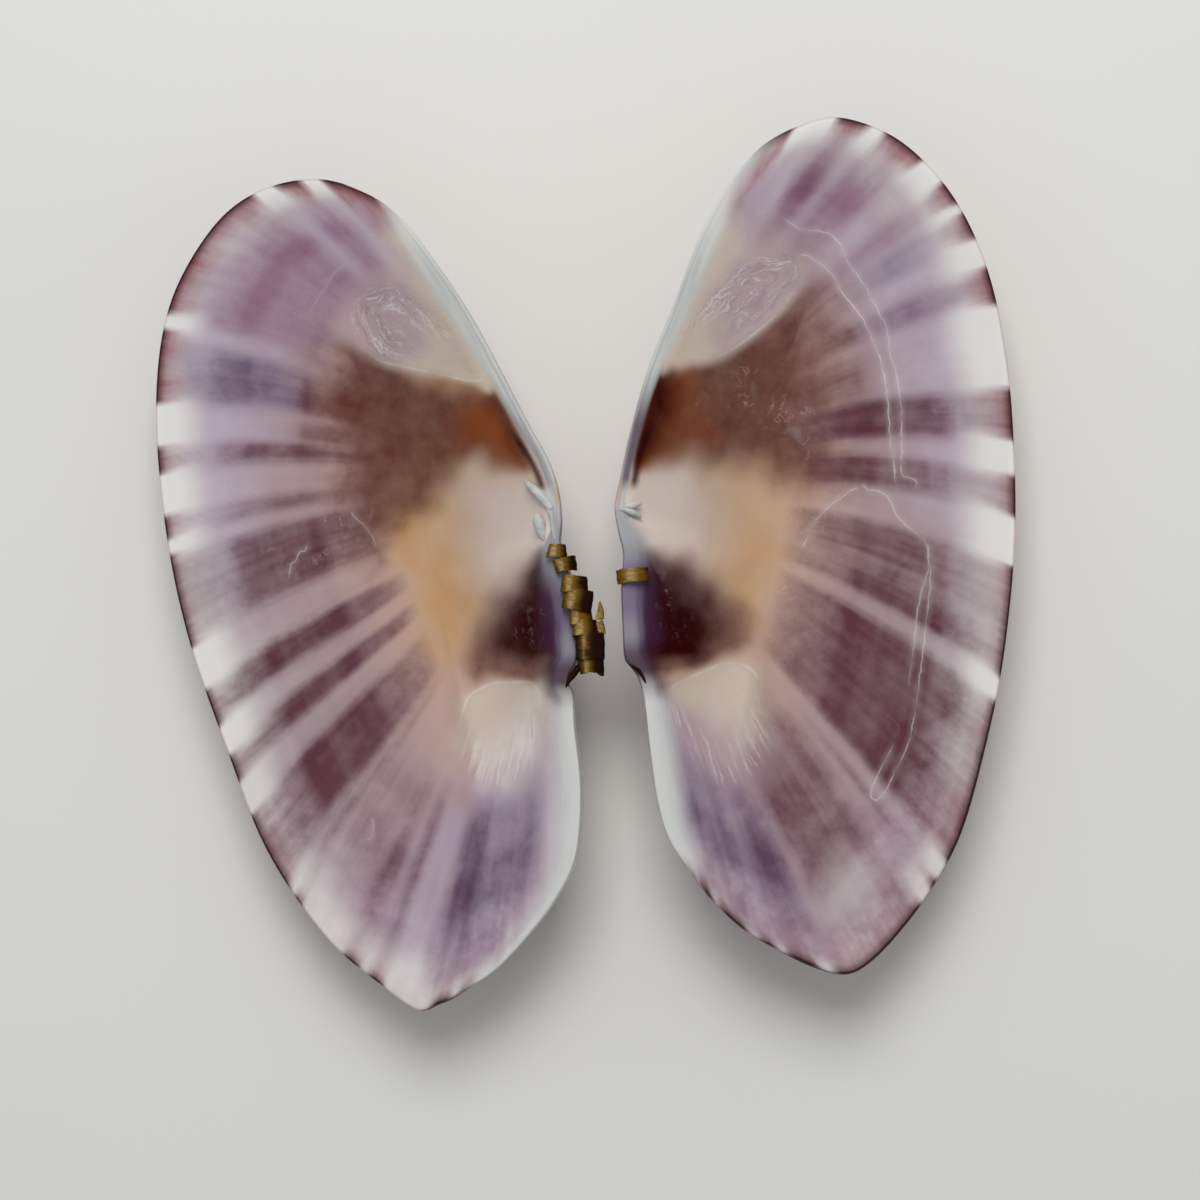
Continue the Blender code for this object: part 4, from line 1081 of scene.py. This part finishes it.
def inside_look(colours, sizes):
    look = Look("shell_inside")
    place = look.millimetres()
    bearing = look.attribute("bearing")
    growth = look.attribute("growth")
    inset = look.attribute("inset")
    outwards = growth.rise(0.38, 0.64)
    streaks = look.noise(look.point(bearing * 0.55, growth * 2.5), detail=4, roughness=0.55) * outwards
    broad = look.noise(look.point(bearing * 0.22 + 7.0, growth * 2), detail=2) * outwards
    rings = look.noise(look.point(bearing * 0.025, growth * 15), detail=2) * growth.rise(0.5, 0.62)
    lines = look.noise(look.point(bearing * 0.05, growth * 60), detail=3)
    cloud = look.noise(place, scale=0.45, detail=4, roughness=0.6)
    blotch = look.noise(place, scale=1.3, detail=4, roughness=0.6)
    uneven = streaks * 0.3 + broad * 0.5 + rings * 0.55 + cloud * 0.6 + blotch * 0.25

    ramp = [(at, linear(*rgb)) for at, *rgb in GROUND]
    ground_at = growth + cloud * 0.08 + streaks * 0.05
    colour = look.node("ShaderNodeValToRGB", {"stops": ramp}, {"Fac": ground_at})
    tint = (streaks * 0.6 + broad + rings * 0.6).rise(-0.3, 0.35) * growth.rise(0.45, 0.62) * 0.3
    colour = look.mix(tint, colour, colours.mauve)
    ragged = streaks * 0.45 + (blotch * 0.3 + cloud * 0.7) * growth.rise(0.2, 0.52)
    for name in PIGMENTS:
        amount = look.attribute(name)
        amount = amount * (1 + uneven * 0.7) + amount.bump(0.5, 0.5) * ragged
        colour = look.mix(amount.least(1.0).most(0.0), colour, getattr(colours, name))

    # The margin's white and maroon stretches, with streaks where they begin.
    fine = look.noise(look.point(bearing * 0.7, growth * 6), detail=4, roughness=0.6)
    inwards = growth - look.attribute("white_start")
    gap = look.attribute("white_gap")
    white_here = (gap + fine * 0.8).rise(-0.7, 0.7)
    wide_here = gap.rise(-2.0, 0.9) * look.attribute("white_strength")
    inwards = (inwards + streaks * 0.03) * look.attribute("white_sharp")
    colour = look.mix(wide_here * inwards.rise(-1, 1), colour, colours.white)
    at_margin = growth.rise(0.72, 0.84)
    dark_here = (1 - white_here) * at_margin
    fringe = inset + fine * 1.3 + cloud * 1.5
    towards_front = bearing.rise(-40, 30).most(0.2)
    colour = look.mix(dark_here * fringe.rise(2.2, 0.5) * towards_front * 0.5, colour, colours.maroon)
    colour = look.mix(dark_here * fringe.rise(1.2, 0.0) * (towards_front * 0.4 + 0.24), colour, colours.maroon)
    colour = look.mix(dark_here * (inset + fine * 0.3).rise(0.65, 0.05) * 0.75, colour, colours.dark_red)
    # The dark line at the very edge: the margin's own dark on its dark stretches, and a fainter painted shade along the
    # edge on its white stretches too.
    edge_ink_and_shade = (inset + fine * 0.1).rise(0.2, 0.07) * (dark_here * 0.7 + at_margin * 0.2)
    colour = look.mix(edge_ink_and_shade, colour, colours.ink)

    # The hinge side: the flat edge; the pale wall of the hollow beside it, its own pale colour made paler as painted
    # light against the shade of the steep wall; and painted shade in a crescent under the hinge plate by the teeth.
    hinge = look.attribute("hinge")
    on_band = look.attribute("band")
    flat_gap = look.attribute("flat_gap")
    # Painted light over the wall's own pale colour: cream in front and white behind lift the steep wall beside the band
    # out of its shade.
    in_front = flat_gap.rise(1.8, -0.2) * hinge.rise(7.0, 11.0) * hinge.rise(18.0, 13.0) * 0.6
    behind = flat_gap.rise(0.8, -0.6) * hinge.rise(-9.4, -11.0) * 0.3
    colour = look.mix(on_band * in_front, colour, colours.cream)
    colour = look.mix(on_band * behind, colour, colours.white)
    band_gap = look.attribute("band_gap")
    # Painted shade in the undercut under the hinge plate.
    undercut_shade = on_band * band_gap.bump(-2.6, 3.6) * hinge.rise(5.4, 3.8) * hinge.rise(0.8, 1.6)
    colour = look.mix(undercut_shade * 0.9, colour, colours.dark_red)
    on_platform = look.attribute("platform") * flat_gap.rise(0.7, -0.5)
    on_edge = (band_gap.rise(-1.0, 1.0) * on_band + on_platform).least(1.0)
    colour = look.mix(on_edge * 0.94, colour, hinge_edge(look, colours))

    # The mantle's lines.
    wobble = look.noise(place, 1.6, 5) * 0.3
    strong = look.noise(place, 0.9, 4).rise(-0.3, 0.12)
    threads = None
    for number in range(LINE_COUNT):
        distance = abs(look.attribute(f"line_{number}") + wobble)
        strength = look.attribute(f"line_strength_{number}")
        thread = (distance.rise(0.07, 0.015) * strong).most(distance.rise(0.4, 0.0) * 0.22) * strength
        threads = thread if threads is None else threads.most(thread)
    colour = look.mix(threads * 0.5, colour, colours.white)

    # Ripples in the scars, with painted highlights on their crests and painted shade in their hollows, a painted
    # highlight along the scars' edges nearer the beak, and pale squiggles and crusts beside them.
    height = lines * 0.012 + blotch * 0.006
    pale = None
    ripple_shade = None
    for name in ("scar_front", "scar_rear"):
        depth = look.attribute(name)
        outer_part = growth.rise(0.37, 0.48) if name == "scar_front" else growth.rise(0.43, 0.54)
        in_scar = depth.rise(-0.2, 0.7) * (depth + cloud * 4).rise(2.8, 0.8) * outer_part
        curled = look.point(depth * 5.0 + cloud * 9, bearing * 0.2 + blotch * 2)
        combed = look.point(bearing * 1.3 + cloud * 4, growth * 7 + blotch)
        marks = look.noise(curled if name == "scar_front" else combed, detail=3)
        height = height + in_scar * marks * (sizes.ripple_height / MM * 3)
        # Painted highlight along the scar's edge nearer the beak and on the ripples' crests.
        rim = depth.bump(0.05, 0.13) * cloud.rise(-0.2, 0.15) * growth.rise(0.5, 0.42) * bearing.rise(56, 50) * 0.35
        scar_highlight = (in_scar * marks.rise(0.02, 0.14) * (0.5 if name == "scar_front" else 0.3)).most(rim)
        pale = scar_highlight if pale is None else pale.most(scar_highlight)
        # Painted shade in the ripples' hollows.
        trough_shade = in_scar * marks.rise(-0.02, -0.14) * (0.34 if name == "scar_front" else 0.15)
        ripple_shade = trough_shade if ripple_shade is None else ripple_shade.most(trough_shade)
    colour = look.mix(ripple_shade, colour, colours.mauve)
    curls = abs(look.noise(place, 1.0, 3)).rise(0.022, 0.006) * look.noise(place, 0.7, 2).rise(0.0, 0.12) * 0.14
    crusts = look.noise(place, 0.9, 4, 0.5).rise(0.03, 0.25) * 0.1
    pale = pale.most(look.attribute("flecks") * curls.most(crusts))
    # White for the scars' painted highlights and for the real pale flecks.
    colour = look.mix(pale, colour, colours.white)
    look.shader.inputs["Specular IOR Level"].default_value = sizes.gloss
    return look.finish(colour, sizes.roughness + cloud * 0.2 - pale * 0.1, height)


def outside_look(colours, sizes):
    look = Look("shell_outside")
    place = look.millimetres()
    bearing = look.attribute("bearing")
    growth = look.attribute("growth")
    streaks = look.noise(look.point(bearing * 0.6, growth * 5), detail=4, roughness=0.6)
    lines = look.noise(look.point(bearing * 0.02, growth * 60), detail=4, roughness=0.65)
    cloud = look.noise(place, scale=0.3, detail=4)
    colour = look.mix(cloud.rise(-0.2, 0.2) * 0.5, colours.outside_ground, colours.cream)
    rays = (look.attribute("plum") * (1 + streaks * 0.8 + lines * 0.9)).least(1.0).most(0.0)
    colour = look.mix(rays * 0.8, colour, colours.mauve)
    colour = look.mix(rays.rise(0.5, 1.0) * 0.6, colour, colours.plum)
    dark_here = look.attribute("white_gap").rise(0.7, -0.7)
    colour = look.mix(dark_here * growth.rise(0.9, 1.0) * 0.8, colour, colours.maroon)
    colour = look.mix(dark_here * growth.rise(0.97, 0.985), colour, colours.ink)
    beside_hinge = look.attribute("band").most(look.attribute("platform"))
    colour = look.mix(beside_hinge * look.attribute("inset").rise(0.8, 0.3), colour, hinge_edge(look, colours))
    return look.finish(colour, 0.42 + lines * 0.2, lines * (sizes.growth_height / MM * 2))


def tooth_look(colours):
    look = Look("hinge_teeth")
    cloud = look.noise(look.millimetres(), 1.2, 3)
    colour = look.mix(0.15 + cloud * 1.6, colours.steel, colours.white)
    look.shader.inputs["Specular IOR Level"].default_value = 0.3
    return look.finish(colour, 0.35 + cloud * 0.2, cloud * 0.02)


# The ligament's scraps. Each is (node, side, middle in that valve's frame, radius, length, start and end of its arch
# from the +X side up, turn about Z), in millimetres and degrees, near the solids, then how much it flares towards its
# rear end, how ragged its ends are, how far its front end narrows to a point, and how much of it is lit gold: how wide
# the painted light along the top of its arch is.
SCRAPS = (
    ("ligament_chip_upper", 0, (8.90, 0.72, -0.05), 0.62, 0.78, 20, 160, -4, 0.32, 0.03, 0.0, 0.72),
    ("ligament_chip_lower", 0, (9.36, -0.10, 0.02), 0.66, 0.80, -30, 165, 12, -0.10, 0.05, 0.0, 0.60),
    ("ligament_ring_1", 0, (9.92, -1.24, 0.14), 0.78, 0.96, -45, 180, -4, 0.14, 0.06, 0.0, 0.62),
    ("ligament_ring_2", 0, (10.10, -2.15, 0.14), 0.88, 1.16, -50, 180, -8, 0.04, 0.08, 0.0, 0.48),
    ("ligament_ring_3", 0, (10.25, -3.02, 0.12), 0.66, 0.90, -50, 180, 8, 0.10, 0.10, 0.0, 0.90),
    ("ligament_ring_4", 0, (10.52, -3.76, 0.14), 0.74, 0.86, -60, 180, 6, 0.16, 0.05, 0.0, 0.66),
    ("ligament_ring_5", 0, (10.80, -4.80, 0.10), 0.85, 1.50, -75, 190, 0, 0.02, 0.03, 0.0, 0.24),
    ("ligament_ring_6", 0, (10.84, -5.86, 0.05), 0.74, 1.05, -70, 185, 4, -0.16, 0.16, 0.0, 0.42),
    ("ligament_flake_upper", 0, (11.26, -2.80, 0.05), 0.34, 0.98, -20, 120, 6, -0.2, 0.05, 0.9, 1.0),
    ("ligament_flake_lower", 0, (11.32, -3.76, -0.05), 0.30, 0.78, -20, 140, 6, 0.2, 0.08, 0.3, 1.0),
    ("ligament_chip_right", 1, (-8.50, -2.35, -0.72), 1.22, 0.80, 48, 145, 6, 0.0, 0.05, 0.0, 0.62),
)
ARCH_STEPS = 48
LENGTH_STEPS = 16

# The two thin slivers behind the platforms: (node, side, points (x, y, z, radius) in millimetres).
SLIVERS = (
    ("ligament_end_left", 0, ((10.25, -5.75, -0.05, 0.10), (9.98, -6.12, 0.02, 0.20), (9.72, -6.45, 0.00, 0.18),
                              (9.48, -6.80, -0.02, 0.12), (9.34, -7.15, -0.06, 0.05))),
    ("ligament_end_right", 1, ((-8.80, -7.47, -0.02, 0.05), (-8.55, -7.60, 0.00, 0.10), (-8.28, -7.80, 0.00, 0.12),
                               (-8.02, -8.16, -0.02, 0.10), (-7.80, -8.62, -0.06, 0.04))),
)


def finish_scrap(node, points, faces, fields, look):
    mesh = bpy.data.meshes.new(node.replace("ligament", "dried_ligament"))
    mesh.from_pydata(points * MM, [], faces)
    mesh.validate()
    mesh.shade_smooth()
    for name, values in fields.items():
        store(mesh, name, values)
    mesh.materials.append(look)
    made = bpy.data.objects.new(mesh.name, mesh)
    bpy.context.scene.collection.objects.link(made)
    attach(made, "root")
    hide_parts(node)


def build_scrap(scrap, settings, look):
    node, side, middle, radius, length, start, end, turn, flare, ragged, point, gold = scrap
    rng = np.random.default_rng(len(node) * 131 + ord(node[-1]))
    around = np.linspace(0, 1, ARCH_STEPS + 1)
    along = np.linspace(-0.5, 0.5, LENGTH_STEPS + 1)[:, None]

    def wander(places, waves):
        return sum(np.sin(places * k * 6.3 + rng.uniform(0, 6.3)) / k for k in waves)

    front = 1 + ragged * wander(around, (1, 2, 3, 5, 9, 17))
    rear = 1 + ragged * wander(around, (1, 2, 3, 6, 11))
    grid = along * np.where(along > 0, front, rear) * length
    narrow = 1 - point * np.clip(along + 0.5, 0, 1)
    angle = np.radians((start + end) / 2 + (end - start) * (0.5 - around) * narrow)
    reach = radius * (1 - flare * along) * (1 + 0.02 * wander(around, (1, 2, 4)) + 0.012 * wander(along, (1, 2, 3)))
    reach = reach + 0.01 * wander(around * 2 + along, (1, 2))
    layers = []
    for own in (reach, reach - settings.thickness / MM):
        layers.append(np.dstack([own * np.cos(angle), grid * np.ones_like(angle), own * np.sin(angle)]))
    points = np.concatenate([layer.reshape(-1, 3) for layer in layers])
    rows, columns = grid.shape
    faces = []
    for i in range(rows - 1):
        for j in range(columns - 1):
            a = i * columns + j
            quad = (a, a + 1, a + columns + 1, a + columns)
            faces.append(quad)
            faces.append(tuple(rows * columns + k for k in reversed(quad)))
    edge = [j for j in range(columns)] + [i * columns + columns - 1 for i in range(1, rows)]
    edge += [(rows - 1) * columns + j for j in range(columns - 2, -1, -1)]
    edge += [i * columns for i in range(rows - 2, 0, -1)]
    for a, b in zip(edge, edge[1:] + edge[:1]):
        faces.append((b, a, rows * columns + a, rows * columns + b))
    spin = Euler((0, 0, math.radians(turn))).to_matrix().to_4x4()
    points = turned(points, valve_matrix(VALVES[side]) @ Matrix.Translation(middle) @ spin)
    fields = {
        "around": np.tile(np.broadcast_to(around, grid.shape).ravel(), 2),
        "along": np.tile(np.broadcast_to(along, grid.shape).ravel(), 2),
        "aside": np.tile(np.broadcast_to(np.cos(angle), grid.shape).ravel(), 2),
        "gold": np.full(len(points), gold),
    }
    finish_scrap(node, points, faces, fields, look)


def build_sliver(sliver, look):
    node, side, line = sliver
    points, faces = tube(line)
    fields = {name: np.zeros(len(points)) for name in ("around", "along", "aside", "gold")}
    finish_scrap(node, turned(points, valve_matrix(VALVES[side])), faces, fields, look)


def ligament_look(settings):
    look = Look("dried_ligament")
    place = look.millimetres()
    along = look.attribute("along")
    gold = look.attribute("gold")
    bands = look.noise(look.point(along * 5, look.attribute("around") * 2), detail=4)
    cloud = look.noise(place, 1.3, 3)
    # Painted light and shade: lit gold where the arch faces up, shaded brown towards its sides.
    off_middle = abs(look.attribute("aside") + 0.25) + cloud * 0.6 + bands * 0.6
    colour = look.mix((gold * 1.2 - off_middle).rise(-0.3, 0.4), settings.shaded_brown, settings.gold)
    # A painted highlight along the lit top of each arch; the flakes are pale all over.
    glint = (gold * 0.4 + 0.05 - off_middle).rise(-0.12, 0.2) * gold.rise(0.0, 0.3)
    colour = look.mix(glint.most(gold.rise(0.95, 1.0) * 0.6) * bands.rise(-0.2, 0.15) * 0.8, colour, settings.pale)
    look.shader.inputs["Specular IOR Level"].default_value = 0.06
    return look.finish(colour, 0.4 + bands * 0.3, cloud * 0.02 + bands * 0.03)


def floor_look(settings):
    look = Look("floor")
    cloud = look.noise(look.millimetres(), 0.02, 3)
    colour = look.mix(cloud.rise(-0.2, 0.2) * 0.1, settings.floor, (0.62, 0.62, 0.60))
    return look.finish(colour, 0.9)


class SUNSET_OT_valves(bpy.types.Operator):
    """Build both valves, with their rays, scars and hinge edges"""

    bl_idname = "sunset.valves"
    bl_label = "Build the valves"

    def execute(self, context):
        colours = context.scene.shell_colours
        sizes = context.scene.shell_sizes
        looks = (inside_look(colours, sizes), outside_look(colours, sizes), tooth_look(colours))
        for side in range(len(VALVES)):
            build_valve(side, sizes, looks)
        return {"FINISHED"}


class SUNSET_OT_ligament(bpy.types.Operator):
    """Build the dried scraps of the ligament"""

    bl_idname = "sunset.ligament"
    bl_label = "Build the ligament scraps"

    def execute(self, context):
        settings = context.scene.ligament_look
        look = ligament_look(settings)
        for scrap in SCRAPS:
            build_scrap(scrap, settings, look)
        for sliver in SLIVERS:
            build_sliver(sliver, look)
        return {"FINISHED"}


class SUNSET_OT_stage(bpy.types.Operator):
    """Build the floor, the soft light and the camera"""

    bl_idname = "sunset.stage"
    bl_label = "Build the stage"

    def execute(self, context):
        settings = context.scene.stage_look
        scene = context.scene
        mesh = bpy.data.meshes.new("floor")
        half = settings.floor_size / 2
        corners = [(x * half, y * half, 0) for x, y in ((-1, -1), (1, -1), (1, 1), (-1, 1))]
        mesh.from_pydata(corners, [], [(0, 1, 2, 3)])
        mesh.materials.append(floor_look(settings))
        floor = bpy.data.objects.new("floor", mesh)
        scene.collection.objects.link(floor)

        key = bpy.data.lights.new("key", "AREA")
        key.energy = settings.key_power
        key.size = settings.key_size
        lamp = bpy.data.objects.new("key", key)
        scene.collection.objects.link(lamp)
        lamp.location = KEY_PLACE
        lamp.rotation_euler = (-lamp.location).to_track_quat("-Z", "Y").to_euler()

        world = bpy.data.worlds.new("sky")
        world.use_nodes = True
        background = world.node_tree.nodes["Background"]
        background.inputs["Color"].default_value = (0.97, 0.98, 1.0, 1.0)
        background.inputs["Strength"].default_value = settings.sky
        scene.world = world
        scene.view_settings.view_transform = "Standard"

        camera = bpy.data.objects.new("camera", bpy.data.cameras.new("camera"))
        camera.data.sensor_width = SENSOR_WIDTH
        camera.data.lens = LENS
        camera.data.clip_start = 10 * MM
        camera.data.clip_end = 10.0
        forward = Vector(CAMERA_FORWARD).normalized()
        right = Vector(CAMERA_RIGHT).normalized()
        turn = Matrix((right, right.cross(forward), -forward)).transposed()
        camera.matrix_world = Matrix.Translation(Vector(CAMERA_PLACE) * MM) @ turn.to_4x4()
        scene.collection.objects.link(camera)
        scene.camera = camera
        return {"FINISHED"}


class SUNSET_PT_sidebar(bpy.types.Panel):
    """Lists the parts of the shell"""

    bl_label = "Sunset Clam Shell"
    bl_space_type = "VIEW_3D"
    bl_region_type = "UI"
    bl_category = "Sunset Clam"

    def draw(self, context):
        for settings in SETTINGS:
            group = getattr(context.scene, settings)
            box = self.layout.box()
            for name in group.__annotations__:
                box.prop(group, name)
        for step in STEPS:
            self.layout.operator(step.bl_idname)


STEPS = (SUNSET_OT_stage, SUNSET_OT_valves, SUNSET_OT_ligament)
SETTINGS = {
    "shell_colours": ShellColours,
    "shell_sizes": ShellSizes,
    "ligament_look": LigamentLook,
    "stage_look": StageLook,
}


def register():
    for kind in (*SETTINGS.values(), *STEPS, SUNSET_PT_sidebar):
        bpy.utils.register_class(kind)
    for name, kind in SETTINGS.items():
        setattr(bpy.types.Scene, name, bpy.props.PointerProperty(type=kind))


def unregister():
    for name in SETTINGS:
        delattr(bpy.types.Scene, name)
    for kind in reversed((*SETTINGS.values(), *STEPS, SUNSET_PT_sidebar)):
        bpy.utils.unregister_class(kind)


def main():
    register()
    bpy.ops.sunset.stage()
    bpy.ops.sunset.valves()
    bpy.ops.sunset.ligament()


if __name__ == "__main__":
    main()
